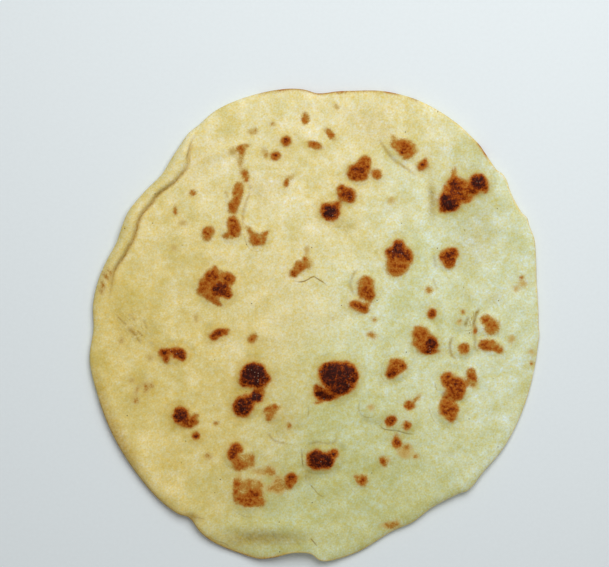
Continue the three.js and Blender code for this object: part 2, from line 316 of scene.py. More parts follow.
# (strength, points), in mm. The clear ones first.
CREASES = [
    (1.0, [(-10.4, 21), (-7.4, 20.1), (-3.9, 20.6), (-0.1, 22.7), (2.5, 21.2), (5.1, 19.7), (6.8, 18)]),
    (0.8, [(31, -47.8), (33.5, -50.4), (37, -51.1), (40.8, -51.5), (45.1, -52.8), (50.2, -53)]),
    (0.7, [(-5.8, -59.8), (-5.6, -61.5), (-5.5, -64.5), (-5.3, -67), (-4.7, -69.5)]),
    (0.6, [(-2.4, -76.2), (-0.8, -78.3), (1.2, -80.6), (3, -82.5), (4, -83), (6, -82.7)]),
    (0.7, [(58.3, -28.1), (58.7, -30.7), (59.8, -32.6)]),
    (0.4, [(-59.4, -92.7), (-55.3, -93.1), (-52, -93.8)]),
    (0.45, [(-51.7, -101.9), (-47.3, -104.1), (-42.5, -105.6), (-39.5, -108.1)]),
    (0.8, [(-1.7, -102.5), (2.2, -107)]),
    (0.5, [(-58, 88.6), (-59.4, 84.5), (-60.9, 80.1), (-61.6, 77.9)]),
    # faint ones beside and round the blisters
    (0.3, [(-33.7, 44.1), (-33.5, 42.4), (-31.4, 36.8), (-28.8, 34.9), (-26.2, 34.9), (-23.2, 36)]),
    (0.2, [(-18, -48.5), (-17.3, -53.5), (-13, -57.7), (-9.5, -58.4), (-5.9, -59.4)]),
    (0.35, [(-2.7, -38.6), (-2.4, -42.5), (-3.2, -47)]),
    (0.5, [(72.3, -3.4), (74.3, -3.4), (76.6, -2)]),
    (0.4, [(76.4, -2.4), (75.6, -5.4)]),
    (0.3, [(55.9, -38), (55.9, -42.3), (58.5, -47.4), (62.8, -49.6), (67.8, -50)]),
    (0.3, [(35.3, -15.3), (32.8, -20.4), (32.8, -25.6), (35.3, -28.6), (39.6, -28.6)]),
    (0.3, [(-39.5, -88.7), (-34, -92.3), (-28.5, -93.1)]),
    (0.3, [(16.3, -76.8), (18.2, -79.6), (20.6, -81.6)]),
    (0.12, [(83.3, 75.2), (84.8, 72.8), (85.6, 70.2), (85.9, 67.8)]),
    (0.15, arc(22, 74, 7.4, 215, 330)),
    (0.15, arc(1.5, -65, 7.2, 225, 300)),
    (0.12, arc(3, -65, 8.3, 65, 120)),
    (0.2, arc(84.2, -0.7, 7.2, 100, 320, 12)),
    (0.3, arc(26.6, -40.1, 5, 120, 330, 9)),
]
# The fold's crease is drawn as one more line of painted shade.
FOLD_LINE_STRENGTH = 0.4
FOLD_LINE_ENDS = (FOLD_ENDS[0] + 4, FOLD_ENDS[3] - 3)   # degrees, where the fold is clear to see
CREASE_HALF_WIDTH = 0.3     # mm


def crease_line(points, step=1.5):
    """Points about `step` apart on a smooth curve through the given ones, as rows of x and y."""
    line = np.array(points, float)
    line = np.vstack([2 * line[0] - line[1], line, 2 * line[-1] - line[-2]])
    run = np.concatenate([[0], np.cumsum(np.hypot(*np.diff(line, axis=0).T))])
    at = np.linspace(run[1], run[-2], max(2, round((run[-2] - run[1]) / step)))
    return np.column_stack([smooth_curve(np.column_stack([run, side]), at) for side in line.T])


def fold_line():
    """The crease of the fold as points."""
    degrees = np.arange(*FOLD_LINE_ENDS, 1.0)
    radius = edge_radius(degrees) - fold_at(degrees)[0]
    return np.column_stack([radius * np.cos(np.radians(degrees)), radius * np.sin(np.radians(degrees))])


creases = [(strength, CREASE_HALF_WIDTH, crease_line(points)) for strength, points in CREASES]
creases.append((FOLD_LINE_STRENGTH, CREASE_HALF_WIDTH, fold_line()))
print(len(creases), "creases of", sum(len(line) for _, _, line in creases), "points")

# %% Tinted strips
STRIP_REACH = 6                 # half widths to each side of a strip in which the mesh knows it
# A strip of painted shade beside the fold's crease, tinted ochre.
FOLD_SHADE_STRENGTH = 0.7
FOLD_SHADE_HALF_WIDTH = 0.95     # mm

# Where the skin stretched beside a blister it is tinted ochre: (strength, half width, points), in mm.
STRIPS = [
    # upper left and upper right
    (0.4, 0.8, [(-43, 64), (-41.5, 62), (-41, 60.5)]),
    (0.45, 0.8, [(-30.5, 66), (-31, 62), (-32.5, 58), (-33.5, 54), (-34, 50), (-33.5, 45)]),
    (0.45, 0.9, [(-57.5, 87), (-59.5, 83), (-60, 76)]),
    (0.5, 0.9, [(30, 91), (33.5, 85.5), (37, 80.5), (39.5, 78), (45, 74.5), (50, 70.5)]),
    (0.35, 0.8, [(57.3, 34), (58.3, 30), (59, 26)]),
    (0.3, 0.6, [(57, 22), (58.5, 19), (59.3, 16)]),
    (0.45, 0.8, [(21.5, 27), (18.8, 23), (17.8, 19), (18.8, 15), (20.5, 13)]),
    # the crowd at the right
    (0.9, 0.8, [(79.8, 8), (79.5, 7), (78, 4.5), (77.3, 2), (76.8, 0), (76.6, -2)]),
    (0.7, 0.9, [(74.8, 3.8), (73.7, 1.5), (72.4, -1.8)]),
    (0.45, 0.9, [(77.3, -3), (77.6, -6), (77.7, -8), (77.8, -12), (80.5, -13.8)]),
    (0.6, 0.85, [(67.5, -5.5), (65.8, -8), (65.6, -12), (66.6, -15.5), (69.2, -17.2)]),
    # below the middle
    (0.5, 0.7, [(-22.5, -51.5), (-19, -56), (-14, -57.5), (-12, -58)]),
    (0.4, 0.8, [(-3.5, -58), (1, -57), (6, -57.5), (10, -57), (11.5, -54)]),
    (0.45, 0.9, [(-3.6, -71), (-3.5, -72), (-3.5, -76), (-3.4, -77)]),
    # partly painted shade, where the arch at the front edge turns away from the light
    (0.4, 0.9, [(-16, -105.5), (-13, -105.4), (-9, -105), (-4, -105.5)]),
    # the dried patch at the left
    (0.6, 1.2, [(-89, -1), (-88, -2.5), (-86.5, -4.2), (-85.5, -5.2), (-84.3, -6)]),
    (0.65, 0.6, [(-85, -3.2), (-84, -4), (-82.8, -5.4), (-82, -6.2)]),
    (0.5, 0.7, [(-85.4, -6), (-84.5, -7), (-83.5, -8.5), (-82.8, -9.5)]),
    (0.5, 0.6, [(-95, 4.5), (-92, 1.5), (-90, -0.5), (-88, -2)]),
    (0.4, 0.8, [(-88.5, 5.2), (-87.5, 4), (-86, 2), (-85.3, 1)]),
    (0.35, 0.6, [(-82, 2.5), (-81.5, 1.5), (-80, -2), (-79.7, -3)]),
]


def strip_field(strips, x, y):
    """The distance to the nearest strip, counted in its half widths, and its strength there.

    With a and b the ends of a straight piece and d = b - a, the nearest point of it to p lies at
    the share (p - a) . d / |d|^2, kept between 0 and 1. The distance has a sign for its side. The
    strength fades out over the last fifth at both ends, and away from the strip.
    """
    gap = np.full(x.shape, 2 * STRIP_REACH)
    strength = np.zeros_like(x)
    for depth, half_width, line in strips:
        pieces = len(line) - 1
        for i in range(pieces):
            (ax, ay), (bx, by) = line[i], line[i + 1]
            length = np.hypot(bx - ax, by - ay)
            share = np.clip(((x - ax) * (bx - ax) + (y - ay) * (by - ay)) / length**2, 0, 1)
            away = np.hypot(x - ax - share * (bx - ax), y - ay - share * (by - ay)) / half_width
            side = np.where((bx - ax) * (y - ay) > (by - ay) * (x - ax), 1, -1)
            run = (i + share) / pieces
            nearer = away < abs(gap)
            gap = np.where(nearer, side * away, gap)
            strength = np.where(nearer, depth * np.clip(5 * np.minimum(run, 1 - run), 0, 1), strength)
    return gap, strength * np.clip(3 * (1 - abs(gap) / STRIP_REACH), 0, 1)


strips = [(strength, half_width, crease_line(points)) for strength, half_width, points in STRIPS]
strips.append((FOLD_SHADE_STRENGTH, FOLD_SHADE_HALF_WIDTH, fold_line()))
print(len(strips), "tinted strips")

# %% Wrinkled and tinted patches, and patches of painted shade
# Both lists: [x, y, half length, half width, turn, strength]
PATCHES = [
    [-86, -1, 16, 8, -42, 0.75], [-20, -8.4, 6, 3, 0, 0.4], [16.5, 47, 5.5, 4.2, -20, 0.8],
    [56.6, 59, 2, 8, 0, 0.6], [56.5, 64.8, 2.6, 2.6, 0, 0.7], [87, 13, 6, 5, 0, 0.4],
    # the last three, at the front arch and the lower left rim, are olive skin and painted shade, where the
    # surface turns away from the light
    [-26.5, 62, 3, 4, 0, 0.5], [-14, -100, 14, 5, 0, 0.5], [-32, -104, 10, 5, -15, 0.4],
    [-66, -86, 6, 3, -30, 0.4],
]
# Ochre tints of the skin, and patches of painted shade: the ones at the front arch and along the rim at the
# lower left darken where the surface turns away from the light, over a tint of its own, and the wide faint
# ones at [75, 60] and [77, 37] darken the dough where the light falls too strongly.
TINTED_AND_SHADED = [
    [57, 59.5, 9, 2, 92, 0.45], [-78.5, -16.5, 1.9, 1.5, -35, 0.6], [-77.7, -9.3, 1.8, 1.2, -45, 0.3],
    [-30.5, 65.5, 1.3, 1.5, 0, 0.4], [-2.5, -72.5, 3, 5, 0, 0.3], [-23, -103, 25, 4, 0, 0.55],
    [9, 2.5, 1.2, 1, 0, 0.3], [-27, -77, 18, 16, 0, 0.15], [-28, -27, 15, 15, 0, 0.12],
    [75, 60, 24, 14, 112, 0.2], [75, 13.5, 4, 3, 0, 0.16], [87, 12, 6, 3, 25, 0.16],
    [28, 95, 14, 8, -20, 0.2], [-14, -46, 9, 8, 0, 0.15], [77, 37, 14, 11, 70, 0.17],
    [-56, 76, 14, 8, 40, 0.12], [-25, 66, 14, 7, 0, 0.12],
    # along the rim at the lower left: painted shade, where the rim turns away from the light, over a tint
    # of its own
    [-101.5, -36, 20, 3.6, -68, 0.3], [-92, -58, 17, 4, -58, 0.45], [-57.5, -92.5, 4, 1.6, -25, 0.6],
]


def oval_field(ovals, x, y):
    """Bells of the reach from each oval, exp(-1.2 reach^2), times their strengths, added up."""
    return sum(oval[5] * np.exp(-1.2 * oval_reach(x, y, oval) ** 2) for oval in ovals)


print(len(PATCHES), "wrinkled patches and", len(TINTED_AND_SHADED), "tinted ones")

# %% [markdown]
# ## Toasted spots
#
# A spot scorches where a blister's crown touches the hot metal. Small ones are a round dot, large
# ones are several dots run together, dark in the middle and tan at the rim. Painting them on an
# image would fix their sharpness. Instead each spot is a few round lobes with a tone, and the mesh
# stores how deep a point lies inside them, in millimetres. The material turns that depth into
# colour, so the rim of a spot stays sharp however close the camera comes.

# %% The spots of the top
# (x, y, half length, half width, turn in degrees, tone) of each lobe, spot by spot.
TOP_SPOTS = [
    # along the far edge
    (-4.2, 100, 1.2, 1.2, 0, 0.38), (-4, 97.8, 1.6, 1.8, 0, 0.5), (11.1, 104.2, 0.9, 0.8, 0, 0.28),
    (8, 91.1, 3.1, 1.55, -50, 0.48), (0.6, 85.8, 3.6, 1.95, -15, 0.5), (-28.2, 92.7, 0.9, 0.9, 0, 0.34),
    (-29.7, 92, 1.1, 0.8, 0, 0.13), (-13.2, 87.7, 2.35, 2.45, 0, 0.72), (-19.6, 95.9, 1, 0.8, 0, 0.28),
    (-18, 80.7, 2.1, 1.95, 0, 0.68), (-19.3, 79.7, 0.9, 0.8, 0, 0.5),
    (-23, 81.2, 0.8, 0.9, 0, 0.4), (-23.9, 83, 0.8, 0.8, 0, 0.1),
    (-34.8, 84, 2, 1.8, 0, 0.46), (-32.6, 85.4, 1.6, 0.8, 10, 0.36), (-34.4, 82, 1, 1.9, 0, 0.42),
    (-38.8, 82.7, 1.5, 1.3, 0, 0.12),
    # the chain down the upper left
    (-35.1, 76.6, 0.8, 1.3, 0, 0.32), (-35.5, 78.2, 0.8, 0.8, 0, 0.14), (-33, 72.2, 1.6, 1.7, 0, 0.5),
    (-32.3, 69.8, 1.2, 1.7, 0, 0.45),
    (-36.2, 63.6, 4.8, 2.6, 80, 0.38), (-36.5, 61.5, 3, 1.3, 80, 0.52), (-38.6, 56, 2.45, 2.9, 0, 0.56),
    (-36.9, 59, 1.5, 2, 0, 0.5),
    (-38.5, 48.9, 2.8, 2.6, 0, 0.6), (-38.2, 45.2, 3.2, 3.3, 0, 0.6), (-41.7, 42.2, 1.3, 0.9, 0, 0.48),
    (-39.2, 42.3, 3, 1, 0, 0.5),
    (-30.4, 44.2, 2.5, 1.2, -55, 0.42), (-28.5, 40.7, 2.2, 2.3, 0, 0.52), (-27.8, 42.3, 1.3, 1.2, 0, 0.45),
    (-26.6, 39.2, 2.6, 1.5, 0, 0.55), (-24.3, 40.9, 1.3, 2, -15, 0.5), (-23, 43, 2, 1, 52, 0.42),
    (-13.1, 67.7, 2, 1.2, 70, 0.52), (-10.6, 70.4, 1.4, 0.8, 45, 0.1), (-57.9, 62.7, 1.7, 1.3, 15, 0.48),
    (-66.4, 54.3, 1, 1.9, 0, 0.45), (-62.8, 48.4, 1.4, 1, 0, 0.12),
    (-49.8, 44.7, 2.1, 1.9, 0, 0.5), (-51.5, 43.6, 1.9, 2.3, 0, 0.52), (-51, 41.2, 1.4, 1.3, 0, 0.45),
    (-66.9, 36.3, 0.8, 0.8, 0, 0.14),
    # the large ones at the upper right
    (40.3, 85.7, 3.1, 2.5, -35, 0.5), (42.8, 86.2, 2.6, 2.2, 0, 0.48), (44.2, 83.3, 3.9, 3.3, -20, 0.58),
    (46, 85.1, 2.4, 2.5, 0, 0.42), (44.7, 80.2, 1.7, 1.2, 0, 0.4), (38.4, 89.2, 1.4, 0.9, -50, 0.22),
    (49, 82.9, 1, 0.9, 0, 0.2),
    (53.3, 77.7, 1.3, 1.5, 0, 0.7), (52.5, 76, 2.1, 1.9, 0, 0.78), (51.2, 74.9, 0.9, 0.8, 0, 0.6),
    (24.6, 77.8, 2.6, 3, 0, 0.55), (25.7, 76, 1.9, 2.6, 0, 0.6), (21.8, 73.8, 4.4, 3.6, 0, 0.62),
    (19, 72.3, 2.6, 2.8, 0, 0.62), (19.8, 70.5, 2.6, 1.7, 0, 0.62), (23.4, 70.7, 2.6, 2.1, 0, 0.6),
    (30.4, 71.8, 2.45, 2.5, 0, 0.56),
    (13.3, 65.1, 1.9, 1.9, 0, 0.65), (16.5, 62.3, 3.6, 3.2, 0, 0.75), (14, 61.8, 2, 2, 0, 0.7),
    (17.6, 60.1, 2.2, 1.9, 0, 0.72),
    (8.1, 53.6, 4.5, 4.1, 0, 0.93), (5.7, 55.9, 2, 1.7, 0, 0.8), (11.5, 57.2, 1.7, 1.7, 0, 0.62),
    (37.2, 59.2, 1, 1, 0, 0.13),
    (67.6, 72.7, 1.1, 2.1, 0, 0.3), (67.8, 67.4, 3.2, 3.4, 0, 0.8), (71, 67.9, 2.2, 1.6, 0, 0.65),
    (63.8, 65, 1.5, 1.8, 0, 0.6), (68.2, 63.8, 4.2, 3.2, 0, 0.75), (73.3, 64.3, 2.6, 3, 0, 0.6),
    (73.4, 60.3, 3, 2.2, 0, 0.6), (70.6, 61.3, 3.2, 2.4, 0, 0.65), (79, 67.9, 4.4, 4.4, 0, 0.88),
    (76.6, 63.9, 2.8, 2.2, 0, 0.68), (82.2, 65.4, 1.8, 2.4, 0, 0.72), (63.5, 60, 3.3, 3, 0, 0.95),
    (65.4, 57.2, 4.4, 3.3, 0, 1), (62.8, 55, 2.4, 1.5, 0, 0.75), (68.6, 57.8, 1.5, 2, 0, 0.9),
    (40.9, 37.3, 2.9, 3.2, 0, 0.85), (39.6, 33.9, 4.9, 3.6, 0, 0.8), (44.7, 32.6, 3.1, 3.7, 0, 0.7),
    (40.6, 29, 5.6, 4.6, 0, 0.52), (39.7, 25.3, 3.9, 2.5, 0, 0.48),
    (66.6, 34.1, 2.9, 2.6, 0, 0.75), (63.2, 32.2, 2.8, 2.5, 0, 0.68), (65, 32, 3.4, 3.6, 0, 0.72),
    (65.3, 28.8, 2.4, 2.5, 0, 0.65),
    # across the middle
    (-48.8, 22.5, 3.7, 3.8, 0, 0.65), (-47.1, 26.5, 0.9, 1.3, 0, 0.5), (-44.6, 23.5, 1.7, 1.6, 0, 0.42),
    (-40.8, 21.5, 3.2, 3, 0, 0.65), (-45.1, 16.7, 4.8, 3.9, 0, 0.8), (-41.3, 14.1, 2.1, 2.4, 0, 0.72),
    (-52.6, 18, 2.7, 4, 0, 0.58), (-54.3, 15.7, 1.6, 1.8, 0, 0.45), (-50.5, 12.8, 2.8, 1.7, -35, 0.52),
    (-47, 10.7, 3.2, 1.4, -35, 0.5), (-47, 14.3, 2.5, 1.6, 0, 0.6),
    (-9.3, 24.5, 2.6, 1.9, 35, 0.6), (-7.4, 28.3, 1.3, 1.3, 0, 0.52), (-6.3, 27.3, 2.2, 2.1, 0, 0.6),
    (-4, 30.7, 1.2, 1.8, 0, 0.55), (-3, 28.4, 1.6, 1.4, 0, 0.36), (-1.8, 29.2, 1, 1.4, 0, 0.14),
    (-3.2, 35.2, 0.8, 1.3, 0, 0.1),
    (25.3, 20.1, 3.5, 3, 0, 0.46), (25.2, 17.3, 3.5, 2.6, 0, 0.55), (25.8, 15, 3.5, 2.7, 0, 0.62),
    (27.2, 12.4, 2, 2.1, 0, 0.6), (23.7, 14.4, 1.8, 1.8, 0, 0.55),
    (20.2, 9, 2.9, 2.2, -10, 0.68), (22.6, 7.6, 2.6, 1.9, -15, 0.62), (24.7, 7.5, 2, 2.3, 0, 0.58),
    (29.2, 2, 0.9, 0.8, 0, 0.28), (27.2, -5.1, 1.2, 1, 0, 0.4), (28.7, -5.9, 1.2, 1.1, 0, 0.25),
    (-48.2, -6.3, 2, 1.7, 0, 0.76), (-45.8, -4.6, 2.4, 1.9, 0, 0.84), (-42.8, -3.6, 2.1, 1.4, 0, 0.72),
    (-29.7, -7.4, 2, 2.05, 0, 0.52), (-28.2, -6, 1, 1, 0, 0.45), (-56.5, 2.6, 0.8, 1.5, 0, 0.14),
    (-71.7, -14, 2.6, 2.1, 0, 0.76), (-70.8, -16.6, 1.8, 2.2, 0, 0.7), (-68.5, -13.1, 1.9, 1.3, 0, 0.72),
    (-65, -14, 3.1, 2.7, 0, 0.8), (-63.5, -15.6, 2.4, 2.1, 0, 0.75),
    # the crowd at the right
    (55.5, 16.2, 1.5, 1.45, 0, 0.34), (56.8, 5, 2.1, 2.55, 0, 0.7),
    (51.4, -5.4, 4.2, 4.6, 0, 0.45), (50.3, -9.7, 2.8, 2.1, 0, 0.52), (56.3, -9.6, 3.4, 4, 0, 0.85),
    (53, -12, 2.2, 1.7, 0, 0.65), (55.8, -13.4, 4.2, 1.1, 0, 0.78),
    (83.3, 1.8, 2.6, 2.3, 0, 0.46), (86.3, -1.1, 2.8, 2.8, 0, 0.44), (85, -3.3, 2.6, 1.9, 0, 0.32),
    (84.6, -0.9, 1.6, 1.4, 0, 0.56), (81.5, 2.1, 1, 1, 0, 0.55),
    (72.1, -11.8, 2.6, 2.6, 0, 0.45), (72.3, -11.8, 1.2, 1.2, 0, 0.6), (77.5, -3.1, 0.8, 1.6, 0, 0.66),
    (82.5, -10.3, 3.1, 2.7, 0, 0.6), (86.3, -11.8, 2.5, 1.3, 0, 0.55), (85.6, -9, 1.6, 1.1, 0, 0.3),
    (89.3, -12.7, 1.6, 1.4, 0, 0.6), (88, -10.8, 0.9, 0.8, 0, 0.5),
    (39.8, -19.1, 3.3, 2.6, 0, 0.6), (42.6, -20.2, 2.2, 2.4, 0, 0.6), (37.5, -23.8, 2.9, 2.3, 30, 0.72),
    (38.8, -21.7, 2.7, 2.6, 0, 0.7),
    (76, -24.9, 3.8, 2.4, 105, 0.5), (77.2, -28.8, 1.2, 1.5, 0, 0.2), (74.1, -28.5, 1.1, 0.8, -35, 0.45),
    (64.5, -26.8, 3.5, 3.7, 0, 0.59), (68.7, -30, 4.6, 4.6, 0, 0.63), (67.9, -34.1, 4.4, 3, 0, 0.6),
    (64, -36, 2, 2.2, 0, 0.52), (63.2, -38.4, 2, 1.8, 0, 0.5), (65, -41.2, 4.8, 4, 0, 0.57),
    (66.2, -45.3, 1.9, 2, 0, 0.6),
    (45.9, -39.2, 2.5, 2.2, 0, 0.6), (49.7, -35.8, 2.1, 0.9, 50, 0.28), (37, -46.6, 2.9, 2.4, 40, 0.7),
    (44.9, -48.8, 1.9, 1.95, 0, 0.65), (40, -57, 2.1, 2.7, 0, 0.72), (39.6, -54.3, 0.8, 0.9, 0, 0.5),
    (44.7, -59.4, 1.9, 1.7, 0, 0.26), (43.6, -62.2, 2.6, 2, 0, 0.12), (49, -63.7, 1.1, 1, 0, 0.3),
    (33.5, -66.1, 2.4, 1.5, 105, 0.56), (35.5, -65.3, 0.9, 0.8, 0, 0.22),
    (23.5, -75.5, 2.2, 2.4, 0, 0.58), (20.9, -73.9, 1.4, 0.9, -35, 0.4), (24.2, -73.7, 1.2, 0.8, 0, 0.32),
    (34.8, -96.7, 1.9, 0.8, 0, 0.28), (37.6, -96.8, 2.1, 1.6, 0, 0.34), (40.2, -95.8, 1.1, 1.3, 0, 0.24),
    # dots near the right edge
    (71.7, 5.8, 0.6, 0.6, 0, 0.7), (70.2, 1.1, 0.8, 0.8, 0, 0.26), (100.1, 22.2, 0.6, 0.6, 0, 0.6),
    (100.6, 19.4, 1.4, 1.1, 0, 0.08), (95.2, -7.3, 1.2, 1.5, 0, 0.16), (105, -18.9, 0.8, 0.8, 0, 0.38),
    (27.5, -40, 1, 0.9, 0, 0.12), (97.5, 16.7, 1, 1, 0, 0.12), (105, -13.5, 0.9, 1, 0, 0.12),
    # the blackest ones, below the middle
    (-28.7, -24.4, 6.5, 6, 0, 0.95), (-22.8, -26.6, 2.1, 2.3, 0, 0.85), (-26.1, -29.2, 2.6, 2, 0, 0.85),
    (-33.2, -27.7, 2.4, 2.3, 0, 0.85), (-26, -31.5, 1.1, 1.1, 0, 0.52), (-24.3, -32.4, 0.9, 1, 0, 0.5),
    (-27.4, -35, 3.4, 3, 0, 0.95), (-30.3, -36.6, 1.6, 1.4, 0, 0.85), (-33.7, -39.6, 5.6, 4.9, 55, 0.83),
    (-22.2, -41.4, 2.1, 1.2, 30, 0.5), (-19.2, -40.2, 2.7, 1.7, 0, 0.5), (-21.5, -44.4, 1.6, 2.8, 0, 0.42),
    (-19.4, -43.2, 1.3, 1.8, 0, 0.26), (-11.7, -49, 0.95, 1.3, 0, 0.5),
    (10.8, -25, 7.9, 6.9, 0, 0.86), (7.7, -23.1, 5.2, 4.6, 0, 0.88), (16.5, -25, 5.3, 6, 0, 0.85),
    (12.5, -30.6, 6.6, 3.6, 0, 0.85), (15.7, -19, 1.3, 1, 0, 0.6), (1.5, -30.6, 1.3, 1.6, 0, 0.7),
    (3.3, -33.3, 3.1, 2.8, 0, 0.92), (6.7, -35.1, 4.2, 1.9, 0, 0.85), (10.3, -34.5, 2.1, 1, 0, 0.6),
    (2.1, -38, 1.5, 0.7, 15, 0.45),
    (1.4, -65.3, 4.9, 5, 0, 0.85), (6.4, -65.8, 3.6, 4, 0, 0.95), (10, -62.4, 2, 2.1, 0, 0.82),
    # the streak on the rolled rim
    (-97.9, 24.8, 1.6, 0.8, -60, 0.3), (-99.4, 22.4, 1.8, 0.8, -50, 0.32), (-101.1, 18.5, 2, 0.8, -75, 0.3),
    (-102, 15.5, 1.5, 0.8, -85, 0.2),
    # lower left
    (-63.8, -44, 4, 4.2, 0, 0.85), (-60.4, -47.4, 3.8, 2.6, 0, 0.65), (-57.3, -46.6, 1.5, 2, 0, 0.55),
    (-56.7, -44.2, 1.2, 1.2, 0, 0.4), (-56.4, -53.8, 1.8, 1.75, 0, 0.78), (-46.8, -47.9, 1, 0.8, 0, 0.46),
    (-80.8, -29.8, 1, 1.3, 0, 0.3), (-80.5, -31.8, 0.8, 1.1, 0, 0.28), (-77.9, -29.9, 0.9, 1.1, 0, 0.25),
    (-84.9, -31.8, 2, 0.8, 60, 0.24), (-85.4, -36.9, 1.4, 1.4, 0, 0.28), (-87.3, -27.2, 0.8, 0.8, 0, 0.2),
    (-92.2, -8, 0.7, 1.1, 0, 0.3), (-50.8, -63.7, 1.5, 1.3, 0, 0.22),
    # the pale ring and its neighbours near the front edge
    (-37.3, -59.8, 3.1, 2.6, 0, 0.76), (-38.8, -63, 2.7, 2.6, 0, 0.76), (-35.4, -67.8, 3.8, 2.9, 0, 0.5),
    (-31.4, -67.4, 2.6, 1.9, 0, 0.3), (-29.7, -64.8, 1.4, 2.1, 0, 0.45), (-32.6, -63.6, 1.6, 0.9, 0, 0.28),
    (-35.6, -73, 0.6, 1.4, 0, 0.12),
    (-36.7, -76.9, 2, 2.4, 0, 0.5), (-37, -81, 1.6, 3.3, 0, 0.46), (-35.2, -84, 2.8, 2.3, 0, 0.5),
    (-30.3, -85.6, 5.4, 2.5, 0, 0.55), (-28.8, -82, 4.2, 3.9, 0, 0.56), (-30.9, -75.7, 2.6, 1.4, 0, 0.3),
    (-31.8, -77.6, 2.8, 1.6, 0, 0.3), (-34, -77.8, 1.6, 1.7, 0, 0.3), (-26.4, -77.7, 2.4, 2.8, 0, 0.24),
    (-25.2, -85.6, 1.7, 1.9, 0, 0.35),
    (-25.8, -71.2, 3.2, 1.3, 0, 0.15), (-21.6, -70.4, 2.3, 1.8, 0, 0.28), (-20.5, -71.9, 1.3, 1.1, 0, 0.42),
    (-10.5, -74.2, 2.9, 2.8, 0, 0.72), (-11.7, -76.8, 1.9, 2.8, 0, 0.5),
    (-16.8, -78.3, 3.4, 3.3, 0, 0.22), (-20.7, -79.3, 1.5, 1.2, 0, 0.32), (-16.9, -74.7, 1.3, 1.3, 0, 0.2),
]

# Stretches of the lip that caught the heat: [start, end, tone], in degrees. The last one, at the
# lower left, is partly painted shade of the rim's edge and partly its darker underside.
LIP_TOAST_AND_SHADE = [
    [98, 103, 0.25], [83, 98, 0.5], [75, 83, 0.35], [70.3, 73, 0.6], [65.5, 66.5, 0.35],
    [44.2, 47.2, 0.75], [200, 262, 0.3],
]
LIP_TOAST_TOP = 0.45    # mm in from the edge that the lip's toasting reaches on the top
LIP_TOAST_UNDER = 1.5   # the same on the underside
print(len(TOP_SPOTS), "lobes of toasting on the top")

# %% The spots of the underside
UNDER_SPOT_COUNT = 52
UNDER_SPOT_REACH = 97           # mm from the middle
UNDER_SPOT_SIZES = (1.5, 6.5)   # mm, half sizes before each is shrunk by up to half
UNDER_SPOT_TONES = (0.35, 0.9)


def under_spots():
    """Toasted spots for the side that lay on the metal first, drawn at random with a seed.

    Their places are even over the disc, because the radius is drawn as a root. A spot has one to
    three lobes, each a little off the last one.
    """
    draw = np.random.default_rng(11)
    spots = []
    for _ in range(UNDER_SPOT_COUNT):
        radius = UNDER_SPOT_REACH * np.sqrt(draw.uniform(0, 1))
        turn = draw.uniform(0, 2 * np.pi)
        size = draw.uniform(*UNDER_SPOT_SIZES) * draw.uniform(0.5, 1)
        tone = draw.uniform(*UNDER_SPOT_TONES)
        x, y = radius * np.cos(turn), radius * np.sin(turn)
        for _ in range(draw.integers(1, 4)):
            spots.append((x, y, size, size * draw.uniform(0.65, 1), draw.uniform(0, 180), tone))
            x += size * draw.uniform(-0.9, 0.9)
            y += size * draw.uniform(-0.9, 0.9)
            size *= draw.uniform(0.5, 0.85)
    return spots


# %% The depth of toasting
MERGE = 0.75            # mm over which lobes run together
TONE_MERGE = 0.8        # mm over which their tones do
DEPTH_RANGE = (-6, 9)   # mm, as far outside and inside as the material looks
WOBBLES = [[5, 0.12], [2.5, 0.08]]  # [wavelength, height] in mm of the unevenness of the rims


def lip_toast_and_shade(angle, inset, reach):
    """The toasted and the shaded stretches of the lip, as (depth in mm, tone) pairs like those of a lobe.

    The depth is the distance to the inner side, or half of that to the nearer end where it is less.
    """
    for start, end, tone in LIP_TOAST_AND_SHADE:
        along = np.radians(np.minimum(angle - start, end - angle)) * edge_radius(angle)
        yield np.minimum(reach - inset, along / 2), tone


def wobble(x, y, seed):
    """How far a place is shifted: ripples of two sizes added up."""
    sizes = enumerate(WOBBLES)
    return sum(height * ripples(x, y, wavelength, seed + i) for i, (wavelength, height) in sizes)


def toasting(x, y, lobes, lip):
    """How deep a point lies inside the toasted spots in mm, negative outside, and their tone there.

    A lobe's depth is (1 - reach) times the geometric mean of its half sizes. All lobes together
    have the depth `MERGE` times the logarithm of the sum of exp(depth / MERGE), which is that of
    the deepest one with rounded joins. The tone is the mean of the lobes' tones, weighted by
    exp(depth / TONE_MERGE). The places are wobbled first, so that no rim is a perfect oval.
    """
    wobbled_x = x + wobble(x, y, 21)
    wobbled_y = y + wobble(x, y, 23)
    depths = (
        ((1 - oval_reach(wobbled_x, wobbled_y, lobe)) * np.sqrt(lobe[2] * lobe[3]), lobe[5])
        for lobe in lobes
    )
    total, weights, tones = np.zeros_like(x), np.zeros_like(x), np.zeros_like(x)
    for depth, tone in [*depths, *lip]:
        total += np.exp(depth / MERGE)
        weight = np.exp(depth / TONE_MERGE)
        weights += weight
        tones += tone * weight
    return np.clip(MERGE * np.log(total), *DEPTH_RANGE), tones / weights


# %% [markdown]
# ## The mesh
#
# The bread is a disc, and a disc can be meshed with spokes and rings, which crowd in the middle. A
# square grid bent into a disc is better: its squares keep nearly one size, and its outermost ring
# still follows the edge. Two such discs, the top and the coarser underside, meet at the lip.

